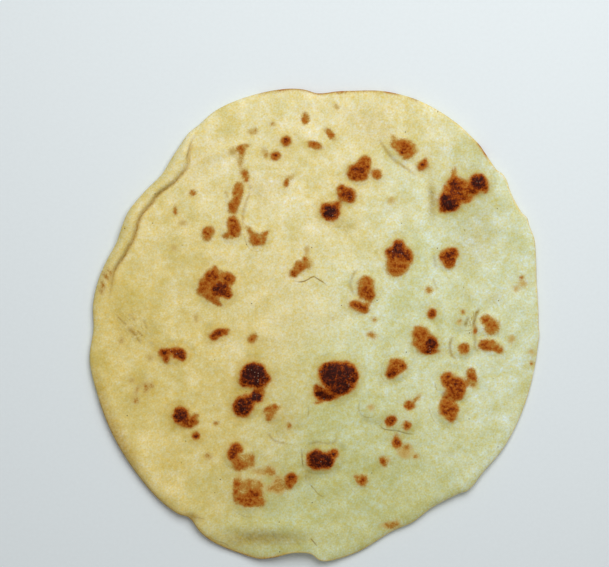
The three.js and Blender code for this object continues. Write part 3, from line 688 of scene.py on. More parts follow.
# %% A square grid bent into a disc
def disc_grid(rings):
    """A grid of points (column, row) from -rings to rings, whose squares become rings.

    A point's ring is the larger of its column and row, and its angle grows evenly along each side
    of the square. Returns the rings, the angles in degrees, the triangles, and the points of the
    outermost ring in order.
    """
    side = np.arange(-rings, rings + 1)
    column, row = np.meshgrid(side, side)
    ring = np.maximum(abs(column), abs(row))
    with np.errstate(divide="ignore", invalid="ignore"):
        beside = row / column + 4 * (column < 0)
        above = 2 - column / row + 4 * (row < 0)
    eighths = np.nan_to_num(np.where(abs(column) >= abs(row), beside, above)) % 8

    number = np.arange(ring.size).reshape(ring.shape)
    a, b, c, d = number[:-1, :-1], number[:-1, 1:], number[1:, 1:], number[1:, :-1]
    outward = ((column + 0.5) * (row + 0.5) > 0)[:-1, :-1]
    first = np.where(outward, [a, b, c], [a, b, d])
    second = np.where(outward, [a, c, d], [b, c, d])
    triangles = np.concatenate([first.reshape(3, -1).T, second.reshape(3, -1).T])

    outermost = ring == rings
    order = np.argsort(eighths[outermost], kind="stable")
    return ring.ravel(), 45 * eighths.ravel(), triangles, number[outermost][order]


# %% Where the rings lie
TOP_RINGS = 140
UNDER_RINGS = TOP_RINGS // 2
ROUND_RINGS = 10        # rings over the top's rounding, closer together towards the lip
BAND_RINGS = 12         # even rings inside them
BAND_STEP = 0.75
FOLD_RING = 2           # this one of the band follows the fold's crease
HEM_RINGS = 5           # rings over the underside's rounding
MIDDLE_RADIUS = 95      # the inner rings turn round towards this radius

quarter = np.arange(ROUND_RINGS + 1) / ROUND_RINGS
TOP_INSETS = np.concatenate([
    TOP_ROUNDING * (1 - np.cos(np.pi / 2 * quarter)),
    TOP_ROUNDING + BAND_STEP * np.arange(1, BAND_RINGS + 1),
])
UNDER_INSETS = UNDER_ROUNDING * (1 - np.cos(np.pi / 2 * np.arange(1, HEM_RINGS + 1) / HEM_RINGS))


def follow_fold(inset, angle):
    """Move the outer rings so that the fold ring lies on the crease, as deep as the fold is.

    Outside the crease the insets are stretched in proportion, and inside it the rest of the band
    takes up the difference.
    """
    ring_inset = TOP_ROUNDING + BAND_STEP * FOLD_RING
    band_end = TOP_INSETS[-1]
    crease, depth = fold_at(angle)
    outside = inset * crease / ring_inset
    inside = crease + (inset - ring_inset) * (band_end - crease) / (band_end - ring_inset)
    moved = np.where(inset < ring_inset, outside, inside)
    return inset + depth * (moved - inset)


def lay_rings(ring, angle, rim_insets, folded):
    """The distance from the middle of each point, and how far in from the edge it is.

    The outer rings keep their insets. The inner ones are evenly spaced and turn from the outline's
    form to round ones: share times (middle radius + (outer radius - middle radius) share^2).
    """
    edge = edge_radius(angle)
    from_edge = ring.max() - ring
    last = len(rim_insets) - 1
    inset = rim_insets[np.minimum(from_edge, last)]
    if folded:
        inset = follow_fold(inset, angle)
    share = ring / (ring.max() - last)
    outer = edge - rim_insets[last]
    inner = share * (MIDDLE_RADIUS + (outer - MIDDLE_RADIUS) * share**2)
    radius = np.where(from_edge > last, inner, edge - inset)
    return radius, edge - radius


print("rings at the rim:", TOP_INSETS.round(2))

# %% The top and the underside
# Heights, sizes and distances in mm.
CREASE_GROOVE = 0.06    # the depth of a crease in the mesh, a bell of 1 mm to each side
DRIED_LIP = 1.2         # how far in from the edge the dried lip fades out
WRINKLE_HEIGHT = 0.07
WRINKLE_SPACING = 2.6
WRINKLE_STRETCH = 4     # how many times longer than wide a wrinkle is
POCKET_HEIGHT = 0.3     # the underside's air pockets
POCKET_SPACING = 17
POCKET_START = 0.4      # the ripple, in spreads, at which a pocket starts


def disc_points(rings, rim_insets, folded=False):
    """A bent grid laid on the bread: x, y, angle, inset, triangles and outermost points."""
    ring, angle, triangles, rim = disc_grid(rings)
    radius, inset = lay_rings(ring, angle, rim_insets, folded)
    x = radius * np.cos(np.radians(angle))
    y = radius * np.sin(np.radians(angle))
    return x, y, angle, inset, triangles, rim


def wrinkle_height(x, y, patch):
    """Fine folds that run down to the right: ripples on places squeezed along their length."""
    along, across = (x - y) / np.sqrt(2), (x + y) / np.sqrt(2)
    folds = ripples(along / WRINKLE_STRETCH, across, WRINKLE_SPACING, 31)
    return WRINKLE_HEIGHT * np.clip(patch, 0, 1) * folds


def top_surface():
    """The top's points and what the skin is like at each of them."""
    x, y, angle, inset, triangles, rim = disc_points(TOP_RINGS, TOP_INSETS, folded=True)
    gap, strength = strip_field(creases, x, y)
    strip_gap, strip = strip_field(strips, x, y)
    patch = oval_field(PATCHES, x, y)
    depth, tone = toasting(x, y, TOP_SPOTS, lip_toast_and_shade(angle, inset, LIP_TOAST_TOP))
    relief = (
        swell_height(x, y) + blister_height(x, y) + ridge_height(x, y) + fold_height(angle, inset)
        + lump_height(x, y) + wrinkle_height(x, y, patch)
        - CREASE_GROOVE * strength * np.exp(-((gap * CREASE_HALF_WIDTH) ** 2))
    )
    crown = CRUMB_THICKNESS + relief - LIP_HEIGHT
    z = rim_lift(angle, inset) + LIP_HEIGHT + crown * rounding(inset, TOP_ROUNDING)
    skin = {"toast_depth": depth, "toast_tone": tone, "crease_gap": gap, "crease": strength,
            "strip_gap": strip_gap, "strip": strip, "patch": patch, "tinted_and_shaded": oval_field(TINTED_AND_SHADED, x, y),
            "dried": smooth_step(1 - inset / DRIED_LIP)}
    return np.column_stack([x, y, z]), triangles, rim, skin


def under_surface():
    """The underside's points, flat but for shallow air pockets, and its skin."""
    x, y, angle, inset, triangles, rim = disc_points(UNDER_RINGS, UNDER_INSETS)
    depth, tone = toasting(x, y, under_spots(), lip_toast_and_shade(angle, inset, LIP_TOAST_UNDER))
    pockets = POCKET_HEIGHT * smooth_step(ripples(x, y, POCKET_SPACING, 41) - POCKET_START)
    z = rim_lift(angle, inset) + LIP_HEIGHT * (1 - rounding(inset, UNDER_ROUNDING)) + pockets
    none = np.zeros_like(x)
    skin = {"toast_depth": depth, "toast_tone": tone, "crease_gap": none, "crease": none,
            "strip_gap": none, "strip": none, "patch": none, "tinted_and_shaded": none,
            "dried": np.ones_like(x)}
    return np.column_stack([x, y, z]), triangles[:, ::-1], rim, skin


def lip_strip(lip, hem):
    """Three triangles for each step of the hem, joined to two steps of the lip."""
    lip_a, lip_b, lip_c = lip[0::2], lip[1::2], np.roll(lip[0::2], -1)
    hem_a, hem_b = hem, np.roll(hem, -1)
    corners = [[lip_a, hem_a, lip_b], [lip_b, hem_a, hem_b], [lip_b, hem_b, lip_c]]
    return np.concatenate([np.column_stack(corner) for corner in corners])


top, top_triangles, lip, top_skin = top_surface()
under, under_triangles, hem, under_skin = under_surface()
points = np.vstack([top, under])
points[:, :2] -= MIDDLE
triangles = np.vstack([top_triangles, under_triangles + len(top), lip_strip(lip, hem + len(top))])
print(len(points), "points,", len(triangles), "triangles,", points[:, 2].max().round(2), "mm high")

# %% Put it into Blender
def make_piece(name, points, triangles, skin):
    """A smooth mesh object of points in mm, with one number at each point for each skin value."""
    mesh = bpy.data.meshes.new(name)
    mesh.vertices.add(len(points))
    mesh.vertices.foreach_set("co", (points * MM).astype(np.float32).ravel())
    mesh.loops.add(triangles.size)
    mesh.loops.foreach_set("vertex_index", triangles.astype(np.int32).ravel())
    mesh.polygons.add(len(triangles))
    mesh.polygons.foreach_set("loop_start", np.arange(0, triangles.size, 3, dtype=np.int32))
    mesh.polygons.foreach_set("use_smooth", np.ones(len(triangles), bool))
    mesh.update(calc_edges=True)
    for label, values in skin.items():
        attribute = mesh.attributes.new(label, "FLOAT", "POINT")
        attribute.data.foreach_set("value", values.astype(np.float32))
    piece = bpy.data.objects.new(name, mesh)
    scene.collection.objects.link(piece)
    return piece


skin = {label: np.concatenate([top_skin[label], under_skin[label]]) for label in top_skin}
naan = make_piece("naan_bread", points, triangles, skin)
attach(naan, "root")
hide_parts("naan")
print("made", naan.name)

# %% [markdown]
# ## Materials
#
# A material is a small network of nodes. Written out one by one they are hard to follow, so a few
# short helpers place a node, do a sum, fade a value in, mix two colours or make noise. Effects are
# node groups: a group takes a place on the bread and hands out a colour, a mask or a height, and
# the shader itself stays in the material.

# %% Helpers that place nodes
def put(tree, kind, sockets=None, **settings):
    """Place a node. `sockets` gives each input, by name or number, a value or an output to join."""
    made = tree.nodes.new(kind)
    for setting, value in settings.items():
        setattr(made, setting, value)
    for socket, value in (sockets or {}).items():
        if isinstance(value, bpy.types.NodeSocket):
            tree.links.new(value, made.inputs[socket])
        else:
            made.inputs[socket].default_value = value
    return made


def sum_up(tree, operation, *values):
    """The result of a Math node."""
    return put(tree, "ShaderNodeMath", dict(enumerate(values)), operation=operation).outputs[0]


def fade(tree, value, start, end, low=0.0, high=1.0):
    """`low` up to `start`, `high` from `end` on, and a smooth S between."""
    sockets = {"Value": value, "From Min": start, "From Max": end, "To Min": low, "To Max": high}
    return put(tree, "ShaderNodeMapRange", sockets, interpolation_type="SMOOTHSTEP").outputs[0]


def mix(tree, share, first, second, how="MIX"):
    """Two colours mixed."""
    made = put(tree, "ShaderNodeMix", {0: share, 6: first, 7: second}, data_type="RGBA", blend_type=how)
    return made.outputs[2]


# %% Helpers for noise and cells
def noise(tree, place, size, detail=2.0, distortion=0.0):
    """Cloudy noise around 0.5, with lumps of about `size` mm. The size may be a socket."""
    if isinstance(size, bpy.types.NodeSocket):
        scale = sum_up(tree, "DIVIDE", 1 / MM, size)
    else:
        scale = 1 / (size * MM)
    sockets = {"Vector": place, "Scale": scale, "Detail": detail, "Distortion": distortion}
    return put(tree, "ShaderNodeTexNoise", sockets).outputs[0]


def uneven(tree, *choices):
    """The same noise, but around 0 instead of 0.5."""
    return sum_up(tree, "SUBTRACT", noise(tree, *choices), 0.5)


def cells(tree, place, size, **settings):
    """Voronoi cells about `size` mm apart."""
    sockets = {"Vector": place, "Scale": 1 / (size * MM)}
    return put(tree, "ShaderNodeTexVoronoi", sockets, **settings).outputs


def cell_number(tree, cell):
    """A number from 0 to 1 that is drawn for each cell: the red of its colour."""
    return put(tree, "ShaderNodeSeparateColor", {"Color": cell["Color"]}).outputs[0]


# %% Helpers for node groups
def new_group(name, inputs, outputs):
    """An empty node group with named sockets, and its input and output nodes."""
    tree = bpy.data.node_groups.new(name, "ShaderNodeTree")
    for label, kind in inputs.items():
        tree.interface.new_socket(label, in_out="INPUT", socket_type=f"NodeSocket{kind}")
    for label, kind in outputs.items():
        tree.interface.new_socket(label, in_out="OUTPUT", socket_type=f"NodeSocket{kind}")
    return tree, tree.nodes.new("NodeGroupInput").outputs, tree.nodes.new("NodeGroupOutput").inputs


def place_group(tree, group, sockets):
    """Place a node group in a tree and hand back its outputs."""
    return put(tree, "ShaderNodeGroup", sockets, node_tree=group).outputs


# %% [markdown]
# ### Fine grain
#
# Flour and baked crumb are matt and slightly speckled at less than a millimetre, and so is a plain
# paper-like ground. Both use the same effect, so it is a group with a size and a strength.

# %% The Fine Grain group
fine_grain, given, result = new_group(
    "Fine Grain", {"Place": "Vector", "Size": "Float", "Strength": "Float"},
    {"Shade": "Float", "Height": "Float"},
)
speckle = uneven(fine_grain, given["Place"], given["Size"], 3.0)
shade = sum_up(fine_grain, "MULTIPLY_ADD", speckle, given["Strength"], 1.0)
fine_grain.links.new(shade, result["Shade"])
fine_grain.links.new(speckle, result["Height"])
print("group:", fine_grain.name)

# %% [markdown]
# ### Wrinkles
#
# The puckered patches have fine streaks that run down to the right. A noise does this when its
# place is turned and squeezed first, which is what the Mapping node is for. The colour and the
# relief both need the streaks, so they are a group.

# %% The Wrinkles group
WRINKLE_TURN = np.radians(45)
WRINKLE_SIZE = (3.6, 1.1, 3.6)  # mm along, across and through the streaks
STREAK_RANGE = (0.46, 0.76)     # of the noise: no streak, full streak

wrinkles, given, result = new_group("Wrinkles", {"Place": "Vector", "Patch": "Float"}, {"Streak": "Float"})
turned = put(
    wrinkles, "ShaderNodeMapping", {"Vector": given["Place"], "Rotation": (0, 0, WRINKLE_TURN)}
).outputs[0]
squeezed = put(
    wrinkles, "ShaderNodeMapping",
    {"Vector": turned, "Scale": [1 / (size * MM) for size in WRINKLE_SIZE]},
).outputs[0]
streak = put(
    wrinkles, "ShaderNodeTexNoise", {"Vector": squeezed, "Scale": 1.0, "Detail": 3.0, "Distortion": 0.6}
).outputs[0]
streak = fade(wrinkles, streak, *STREAK_RANGE)
wrinkles.links.new(sum_up(wrinkles, "MULTIPLY", streak, given["Patch"]), result["Streak"])
print("group:", wrinkles.name)

# %% [markdown]
# ### The colour of the dough
#
# Baked dough is cream. Here its colour also carries painted light: it goes from a warm left to a
# cool right, as the light's own tint does, and within each side it is painted darker towards the
# front and the lower left and lighter towards the top and the right, where the light is stronger.
# The lip and the underside, which dried on the metal, take the warm colour all round. On top come
# clouds of four centimetres down to half a one, faint crinkles and a sprinkle of scorched flour
# specks. Seen closely the dough is mottled at every size down to a millimetre, most of all in how
# yellow it is, so one more group turns a noise into a shade that swings its red a little, its green
# more and its blue most.

# %% The Colour Mottle group
# [size in mm, (swing of red, green and blue)]
MOTTLES = [[0.9, (0.05, 0.4, 1.85)], [2.4, (0.0, 0.22, 1.1)], [9.5, (0.45, 0.5, 1.1)]]

colour_mottle, given, result = new_group(
    "Colour Mottle", {"Place": "Vector", "Size": "Float", "Swing": "Vector"}, {"Shade": "Color"}
)
clouds = uneven(colour_mottle, given["Place"], given["Size"])
shade = put(
    colour_mottle, "ShaderNodeVectorMath", {0: clouds, 1: given["Swing"], 2: (1.0, 1.0, 1.0)},
    operation="MULTIPLY_ADD",
).outputs[0]
colour_mottle.links.new(shade, result["Shade"])
print("group:", colour_mottle.name)

# %% The Dough Colour group: painted warm and cool light
# Each pair is the dough's colour under painted light: painted shade at its first place and painted light at
# its second. The warm pair stands in for the warm light at the left, the cool pair for the cool light at
# the right.
DOUGH_IN_WARM_LIGHT = ((0.77, 0.64, 0.26, 1), (0.83, 0.75, 0.42, 1))     # at the lower left, at the top
DOUGH_IN_COOL_LIGHT = ((0.62, 0.64, 0.33, 1), (0.71, 0.75, 0.49, 1))    # at the front, at the right
# The three fades run along slanted lines: (how much of Y is added to X, start and end in mm).
WARM_LIGHT_FADE = (0.8, -100, 40)
COOL_LIGHT_FADE = (1.2, -50, 20)
WARM_TO_COOL_LIGHT = (-0.55, 0, 75)
BEND_SIZE = 24      # mm, the bends of the border between warm and moist
BEND_REACH = 60     # mm that they move it
DRIED_SHIFT = 200   # mm that dried dough counts as lying further to the left

dough_colour, given, result = new_group(
    "Dough Colour",
    {"Place": "Vector", "Dried": "Float", "Patch": "Float", "Streak": "Float", "Tint": "Float",
     "Crease": "Float"},
    {"Color": "Color"},
)
tree, place = dough_colour, given["Place"]
sides = put(tree, "ShaderNodeSeparateXYZ", {"Vector": place}).outputs


def slanted_fade(tree, sides, slope, start, end, *shifts):
    """A fade along X + slope Y plus the shifts, from `start` to `end` mm."""
    along = sum_up(tree, "MULTIPLY_ADD", sides["Y"], slope, sides["X"])
    for shift in shifts:
        along = sum_up(tree, "ADD", along, shift)
    return fade(tree, along, start * MM, end * MM)


warm_lit_dough = mix(tree, slanted_fade(tree, sides, *WARM_LIGHT_FADE), *DOUGH_IN_WARM_LIGHT)
cool_lit_dough = mix(tree, slanted_fade(tree, sides, *COOL_LIGHT_FADE), *DOUGH_IN_COOL_LIGHT)
bends = sum_up(tree, "MULTIPLY", noise(tree, place, BEND_SIZE, 4.0), BEND_REACH * MM)
dried = sum_up(tree, "MULTIPLY", given["Dried"], -DRIED_SHIFT * MM)
colour = mix(tree, slanted_fade(tree, sides, *WARM_TO_COOL_LIGHT, bends, dried), warm_lit_dough, cool_lit_dough)
print("dough from", DOUGH_IN_WARM_LIGHT[0][:3], "to", DOUGH_IN_COOL_LIGHT[1][:3])

# %% The Dough Colour group: clouds and crinkles
CLOUDS = [(42, 0.5), (13, 0.55), (5, 0.45)]     # (size in mm, strength)
CLOUD_RANGE = (0.42, 0.68)      # of the noise: no cloud, full cloud
DRY_TINT = (0.96, 0.92, 0.76, 1)
CRINKLE_SIZE = 7                # mm, the loops of the crinkles
CRINKLE_WIDTH = 0.02            # of the noise that they are contours of
CRINKLED_AREAS = 26             # mm, the size of the areas that have them
CRINKLED_RANGE = (0.5, 0.6)     # of the areas' noise: no crinkles, full crinkles
CRINKLE_TINT = (1.07, 1.06, 1.10, 1)

for size, strength in CLOUDS:
    dry = fade(tree, noise(tree, place, size), *CLOUD_RANGE, 0.0, strength)
    colour = mix(tree, dry, colour, DRY_TINT, "MULTIPLY")
contour = sum_up(tree, "ABSOLUTE", uneven(tree, place, CRINKLE_SIZE, 3.0, 1.5))
crinkle = fade(tree, contour, 0.0, CRINKLE_WIDTH, 1.0, 0.0)
crinkled = fade(tree, noise(tree, place, CRINKLED_AREAS), *CRINKLED_RANGE)
colour = mix(tree, sum_up(tree, "MULTIPLY", crinkle, crinkled), colour, CRINKLE_TINT, "MULTIPLY")
print(len(CLOUDS), "sizes of clouds")

# %% The Dough Colour group: shades and specks
# Olive of the dried skin, which at the front arch and the lower left rim is also painted shade.
OLIVE_SKIN_AND_SHADE = (0.84, 0.81, 0.66, 1)
STREAK_SHADE = (0.76, 0.70, 0.52, 1)
# The tint of ochre stains, which also paints shade where the shaded patches and the fold's strip stand in
# for it.
TINT_AND_PAINTED_SHADE = (0.52, 0.34, 0.10, 1)
TINT_GRAIN = 1.3        # mm
TINT_SWING = (0.7, 1.25)
# Painted shade in the hollow of a crease, tinted brown.
CREASE_PAINTED_SHADE = (0.42, 0.27, 0.08, 1)
SPECK_SHADE = (0.22, 0.15, 0.09, 1)
SPECK_SPACING = 15.0    # mm
SPECK_RADIUS = 0.30     # mm

grainy = fade(tree, noise(tree, place, TINT_GRAIN, 3.0), 0.3, 0.7, *TINT_SWING)
tint_and_shade = sum_up(tree, "MULTIPLY", given["Tint"], grainy)
specks = cells(tree, place, SPECK_SPACING, voronoi_dimensions="2D")
radius = SPECK_RADIUS / SPECK_SPACING
dot = fade(tree, specks["Distance"], 0.6 * radius, 1.2 * radius, 1.0, 0.0)
speck = sum_up(tree, "MULTIPLY", dot, fade(tree, cell_number(tree, specks), 0.55, 0.95))
for share, shade in [
    (given["Patch"], OLIVE_SKIN_AND_SHADE), (given["Streak"], STREAK_SHADE), (tint_and_shade, TINT_AND_PAINTED_SHADE),
    (given["Crease"], CREASE_PAINTED_SHADE), (speck, SPECK_SHADE),
]:
    colour = mix(tree, share, colour, shade, "MULTIPLY")
tree.links.new(colour, result["Color"])
print("group:", dough_colour.name)

# %% [markdown]
# ### Toasting
#
# Toast goes from tan through red brown to near black, and it darkens over the first two
# millimetres in from its rim. Just outside a dark spot the skin has a faint ochre glow, and a faint
# broken line of painted shade runs round the foot of the blister, where its dome meets the sheet.
# The group roughens the depth that the mesh stores, turns it into a cover and a tone, and reads the
# colour from a ramp.

# %% The Toasting group: the rim of a spot
# Pairs here are the values of a faint spot and of a dark one.
RIM_OFFSET = 0.4            # mm that the middle of the colour's rim lies outside the depth of 0
RIM_SOFTNESS = (1.25, 0.9)  # mm, half the width of the rim
COARSE_SIZE = 2.2           # mm, the large bends of the rim
COARSE_RAGGED = 0.9         # mm that it wanders in them
FINE_SIZE = 0.7             # mm, the small bends
FINE_RAGGED = (2.2, 0.7)    # mm that it wanders in them

toasting_group, given, result = new_group(
    "Toasting", {"Place": "Vector", "Dough": "Color", "Depth": "Float", "Tone": "Float"},
    {"Color": "Color", "Cover": "Float", "Char": "Float"},
)
tree, place, tone = toasting_group, given["Place"], given["Tone"]
coarse = uneven(tree, place, COARSE_SIZE)
fine = uneven(tree, place, FINE_SIZE)
ragged = sum_up(tree, "MULTIPLY_ADD", coarse, COARSE_RAGGED, given["Depth"])
ragged = sum_up(tree, "MULTIPLY_ADD", fine, fade(tree, tone, 0.2, 0.7, *FINE_RAGGED), ragged)
softness = fade(tree, tone, 0.15, 0.55, *RIM_SOFTNESS)
outer = sum_up(tree, "SUBTRACT", -RIM_OFFSET, softness)
cover = fade(tree, ragged, outer, sum_up(tree, "SUBTRACT", softness, RIM_OFFSET))
tree.links.new(cover, result["Cover"])
print("a rim is", [2 * half for half in RIM_SOFTNESS], "mm wide")

# %% The Toasting group: how far it is burnt
# A fade is (start, end, value before, value after); its start and end are depths in mm.
DARKENING = (-1.1, 2.1, 0.22, 1.02)
CORE_DARKENING = (2.0, 5.5, 0.0, 0.12)
MOTTLE_SIZE = 1.8           # mm
MOTTLE_SWING = (2.1, 1.2)   # how much it lightens and darkens a faint spot, and a dark one
FINE_SWING = 0.9            # the same for the fine unevenness
TOAST_COLOURS = [
    (0.10, (0.600, 0.430, 0.140)), (0.20, (0.500, 0.280, 0.058)), (0.30, (0.440, 0.198, 0.032)),
    (0.42, (0.450, 0.152, 0.018)), (0.55, (0.365, 0.088, 0.006)), (0.66, (0.275, 0.048, 0.002)),
    (0.79, (0.145, 0.020, 0.001)), (0.92, (0.074, 0.009, 0.002)), (1.00, (0.035, 0.005, 0.002)),
]

inner = sum_up(tree, "ADD", fade(tree, ragged, *DARKENING), fade(tree, ragged, *CORE_DARKENING))
swing = fade(tree, tone, 0.45, 0.8, *MOTTLE_SWING)
mottle = sum_up(tree, "MULTIPLY_ADD", uneven(tree, place, MOTTLE_SIZE, 3.0), swing, 1.0)
mottle = sum_up(tree, "MULTIPLY_ADD", fine, FINE_SWING, mottle)
burn = sum_up(tree, "MULTIPLY", tone, sum_up(tree, "MULTIPLY", inner, mottle))
ramp = put(tree, "ShaderNodeValToRGB", {"Fac": burn})
while len(ramp.color_ramp.elements) < len(TOAST_COLOURS):
    ramp.color_ramp.elements.new(1.0)
for stop, (position, rgb) in zip(ramp.color_ramp.elements, TOAST_COLOURS):
    stop.position = position
    stop.color = (*rgb, 1)
char = fade(tree, burn, 0.55, 0.85)
tree.links.new(sum_up(tree, "MULTIPLY", char, cover), result["Char"])
print("toast of", len(TOAST_COLOURS), "colours")

# %% The Toasting group: pale flakes on it
FLAKE = (0.50, 0.34, 0.22, 1)
FLAKE_SPACING = 1.5         # mm
FLAKE_EDGE = (0.06, 0.24)   # spacings from its middle: where a flake starts to fade, where it ends
FLAKE_STRENGTH = 0.65

flakes = cells(tree, place, FLAKE_SPACING)
flake = fade(tree, flakes["Distance"], *FLAKE_EDGE, FLAKE_STRENGTH, 0.0)
ash = sum_up(tree, "MULTIPLY", flake, fade(tree, cell_number(tree, flakes), 0.45, 0.95))
ash = sum_up(tree, "MULTIPLY", ash, fade(tree, tone, 0.5, 0.8))
toast = mix(tree, ash, ramp.outputs[0], FLAKE)
print("flakes", FLAKE_SPACING, "mm apart")

# %% The Toasting group: the skin around it
GLOW_SHADE = (0.88, 0.81, 0.64, 1)
GLOW_DEPTHS = (-4.5, -1.0)  # mm
# A broken line of painted shade round the foot of each blister, where its dome meets the sheet.
FOOT_PAINTED_SHADE = (0.50, 0.46, 0.24, 1)
FOOT_DEPTHS = (-5.2, -3.8, -2.4)    # mm: where the line at the blister's foot starts, peaks and ends
FOOT_RAGGED = 3.0           # mm that it wanders
FOOT_BREAKS = 7             # mm, the stretches in which it comes and goes
FOOT_STRENGTH = 0.25

near = fade(tree, given["Depth"], *GLOW_DEPTHS)
dark = fade(tree, tone, 0.4, 0.95, 0.2, 1.0)
dough = mix(tree, sum_up(tree, "MULTIPLY", near, dark), given["Dough"], GLOW_SHADE, "MULTIPLY")
foot = sum_up(tree, "MULTIPLY_ADD", coarse, FOOT_RAGGED, given["Depth"])
rising = fade(tree, foot, *FOOT_DEPTHS[:2])
foot = sum_up(tree, "MULTIPLY", rising, fade(tree, foot, *FOOT_DEPTHS[1:], 1.0, 0.0))
broken = fade(tree, noise(tree, place, FOOT_BREAKS), 0.45, 0.65, 0.0, FOOT_STRENGTH)
foot = sum_up(tree, "MULTIPLY", foot, broken)
dough = mix(tree, sum_up(tree, "MULTIPLY", foot, dark), dough, FOOT_PAINTED_SHADE, "MULTIPLY")
tree.links.new(mix(tree, cover, dough, toast), result["Color"])
print("group:", toasting_group.name)

# %% [markdown]
# ### The finest relief
#
# What is finer than the mesh is bump: the grain and the pores of the skin, the bottom of each
# crease, the wrinkled streaks and the tiny bubbles on the scorched crowns. All heights are in
# millimetres, so they can be compared with real bread, and one Bump node turns their sum into a
# normal.

# %% The Skin Relief group
# Heights and sizes in mm.
PORE_HEIGHT, PORE_SIZE = 0.03, 2.6
GRAIN_HEIGHT = 0.06
CREASE_DEPTH = 0.07
STREAK_DEPTH = 0.06
BUBBLE_DEPTH, BUBBLE_SIZE = 0.14, 1.1

skin_relief, given, result = new_group(
    "Skin Relief",
    {"Place": "Vector", "Grain": "Float", "Crease": "Float", "Streak": "Float", "Cover": "Float"},
    {"Height": "Float"},
)
tree, place = skin_relief, given["Place"]
height = sum_up(tree, "MULTIPLY", noise(tree, place, PORE_SIZE), PORE_HEIGHT)
bubbles = cells(tree, place, BUBBLE_SIZE, feature="SMOOTH_F1")["Distance"]
bubbles = sum_up(tree, "MULTIPLY", bubbles, given["Cover"])
for part, size in [
    (given["Grain"], GRAIN_HEIGHT), (given["Crease"], -CREASE_DEPTH), (given["Streak"], -STREAK_DEPTH),
    (bubbles, -BUBBLE_DEPTH),
]:
    height = sum_up(tree, "MULTIPLY_ADD", part, size, height)
tree.links.new(height, result["Height"])
print("group:", skin_relief.name)

# %% Helpers for materials
def new_material(name):
    """A material with an empty tree but for its shader and output, and the place on the object."""
    material = bpy.data.materials.new(name)
    material.use_nodes = True
    tree = material.node_tree
    place = put(tree, "ShaderNodeTexCoord").outputs["Object"]
    return material, tree, tree.nodes["Principled BSDF"], place


def skin_value(tree, label):
    """A number that the mesh stores at its points."""
    return put(tree, "ShaderNodeAttribute", attribute_name=label).outputs["Fac"]


def strip_line(tree, label):
    """How strong a strip is at a point: its strength times exp(-gap^2)."""
    gap = skin_value(tree, label + "_gap")
    bell = sum_up(tree, "EXPONENT", sum_up(tree, "MULTIPLY", sum_up(tree, "MULTIPLY", gap, gap), -1.0))
    return sum_up(tree, "MULTIPLY", bell, skin_value(tree, label))


# %% The bread's material
GRAIN_SIZE, GRAIN_STRENGTH = 0.8, 0.36      # the size in mm
CREASE_BREAKS = 3.5                         # mm, the stretches in which a crease comes and goes
ROUGHNESS = (0.82, 0.5)                     # of dough, of char
LIGHT_TRAVEL = 1.2                          # mm that light travels in the crumb
LIGHT_TRAVEL_SHARES = (1.0, 0.7, 0.35)      # of that, for red, green and blue

bread, tree, shader, place = new_material("baked_dough")
patch = skin_value(tree, "patch")
# The ochre tints, and the painted shade of the fold's strip and of the shaded patches.
tint_and_shade = sum_up(tree, "MAXIMUM", strip_line(tree, "strip"), skin_value(tree, "tinted_and_shaded"))
# The creases: their bump, and their painted shade in the colour.
line = strip_line(tree, "crease")
clear = fade(tree, noise(tree, place, CREASE_BREAKS), 0.36, 0.6, 0.5, 1.0)
line = sum_up(tree, "MULTIPLY", line, clear)
streak = place_group(tree, wrinkles, {"Place": place, "Patch": patch})["Streak"]
grain = place_group(
    tree, fine_grain, {"Place": place, "Size": GRAIN_SIZE, "Strength": GRAIN_STRENGTH}
)
dough = place_group(
    tree, dough_colour,
    {"Place": place, "Dried": skin_value(tree, "dried"), "Patch": patch, "Streak": streak, "Tint": tint_and_shade,
     "Crease": line},
)["Color"]
dough = mix(tree, 1.0, dough, grain["Shade"], "MULTIPLY")
for size, swing in MOTTLES:
    shade = place_group(tree, colour_mottle, {"Place": place, "Size": size, "Swing": swing})["Shade"]
    dough = mix(tree, 1.0, dough, shade, "MULTIPLY")
toast = place_group(
    tree, toasting_group,
    {"Place": place, "Dough": dough, "Depth": skin_value(tree, "toast_depth"),
     "Tone": skin_value(tree, "toast_tone")},
)
relief = place_group(
    tree, skin_relief,
    {"Place": place, "Grain": grain["Height"], "Crease": line, "Streak": streak, "Cover": toast["Cover"]},
)["Height"]
bump = put(tree, "ShaderNodeBump", {"Height": relief, "Distance": MM, "Strength": 1.0})
tree.links.new(toast["Color"], shader.inputs["Base Color"])
tree.links.new(fade(tree, toast["Char"], 0.0, 1.0, *ROUGHNESS), shader.inputs["Roughness"])
tree.links.new(bump.outputs[0], shader.inputs["Normal"])
shader.inputs["Specular IOR Level"].default_value = 0.06
shader.inputs["Subsurface Weight"].default_value = 0.1
shader.inputs["Subsurface Radius"].default_value = LIGHT_TRAVEL_SHARES
shader.inputs["Subsurface Scale"].default_value = LIGHT_TRAVEL * MM
naan.data.materials.append(bread)
print("material:", bread.name)

# %% [markdown]
# ## Floor, light and camera
#
# The bread lies on a plain pale ground under soft daylight from a window at the upper right, and
# is looked at from straight above. A lamp as large as a window gives soft shadows, and because it
# stands to one side, the far half of the bread comes out brighter than the near one.

# %% The floor
FLOOR_COLOUR = (0.80, 0.86, 0.88, 1)
FLOOR_HALF = 2.0    # metres
FLOOR_DROP = 0.1 * MM
FLOOR_GRAIN_SIZE, FLOOR_GRAIN_STRENGTH = 1.6, 0.05  # the size in mm

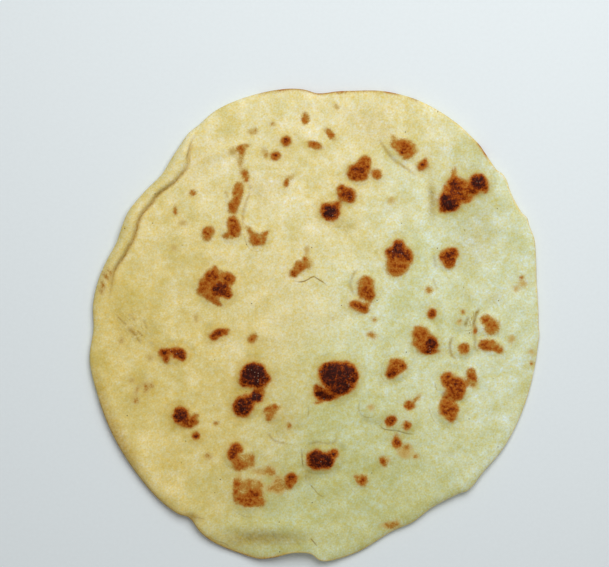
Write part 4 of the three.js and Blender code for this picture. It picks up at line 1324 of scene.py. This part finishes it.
floor_mesh = bpy.data.meshes.new("floor")
corners = [(-1, -1), (1, -1), (1, 1), (-1, 1)]
floor_mesh.from_pydata(
    [(x * FLOOR_HALF, y * FLOOR_HALF, -FLOOR_DROP) for x, y in corners], [], [(0, 1, 2, 3)]
)
floor = bpy.data.objects.new("floor", floor_mesh)
scene.collection.objects.link(floor)

ground, tree, shader, place = new_material("plain_ground")
grain = place_group(
    tree, fine_grain, {"Place": place, "Size": FLOOR_GRAIN_SIZE, "Strength": FLOOR_GRAIN_STRENGTH}
)
tree.links.new(mix(tree, 1.0, FLOOR_COLOUR, grain["Shade"], "MULTIPLY"), shader.inputs["Base Color"])
shader.inputs["Roughness"].default_value = 0.9
shader.inputs["Specular IOR Level"].default_value = 0.2
floor_mesh.materials.append(ground)
print("material:", ground.name)

# %% Light
def area_lamp(name, place, size, power):
    """A white square lamp of `size` metres and `power` watts that faces the bread."""
    lamp = bpy.data.lights.new(name, "AREA")
    lamp.size = size
    lamp.energy = power
    made = bpy.data.objects.new(name, lamp)
    made.location = place
    made.rotation_euler = (-made.location).to_track_quat("-Z", "Y").to_euler()
    scene.collection.objects.link(made)


area_lamp("window", place=(0.15, 0.4, 0.75), size=0.6, power=5.5)
area_lamp("ceiling", place=(-0.2, 0.1, 1.6), size=1.6, power=3.8)

world = bpy.data.worlds.new("daylight")
world.use_nodes = True
world.node_tree.nodes["Background"].inputs["Color"].default_value = (1.0, 1.0, 1.0, 1)
world.node_tree.nodes["Background"].inputs["Strength"].default_value = 0.2
scene.world = world
scene.view_settings.view_transform = "Standard"
print("two lamps and a pale world")

# %% Camera
VIEW_WIDTH = 292.3              # mm that the picture is wide, at the level of the bread's skin
VIEW_LEVEL = 5.5                # mm, that level above the ground
VIEW_MIDDLE = (-4.32, 19.37)    # mm, the picture's middle on the outline's own axes
CAMERA_HEIGHT = 1.2             # metres above the ground

camera_data = bpy.data.cameras.new("camera")
camera_data.lens = camera_data.sensor_width * (CAMERA_HEIGHT - VIEW_LEVEL * MM) / (VIEW_WIDTH * MM)
camera = bpy.data.objects.new("camera", camera_data)
camera.location = (*((np.array(VIEW_MIDDLE) - MIDDLE) * MM), CAMERA_HEIGHT)
scene.collection.objects.link(camera)
scene.camera = camera
print("lens", round(camera_data.lens, 1), "mm")
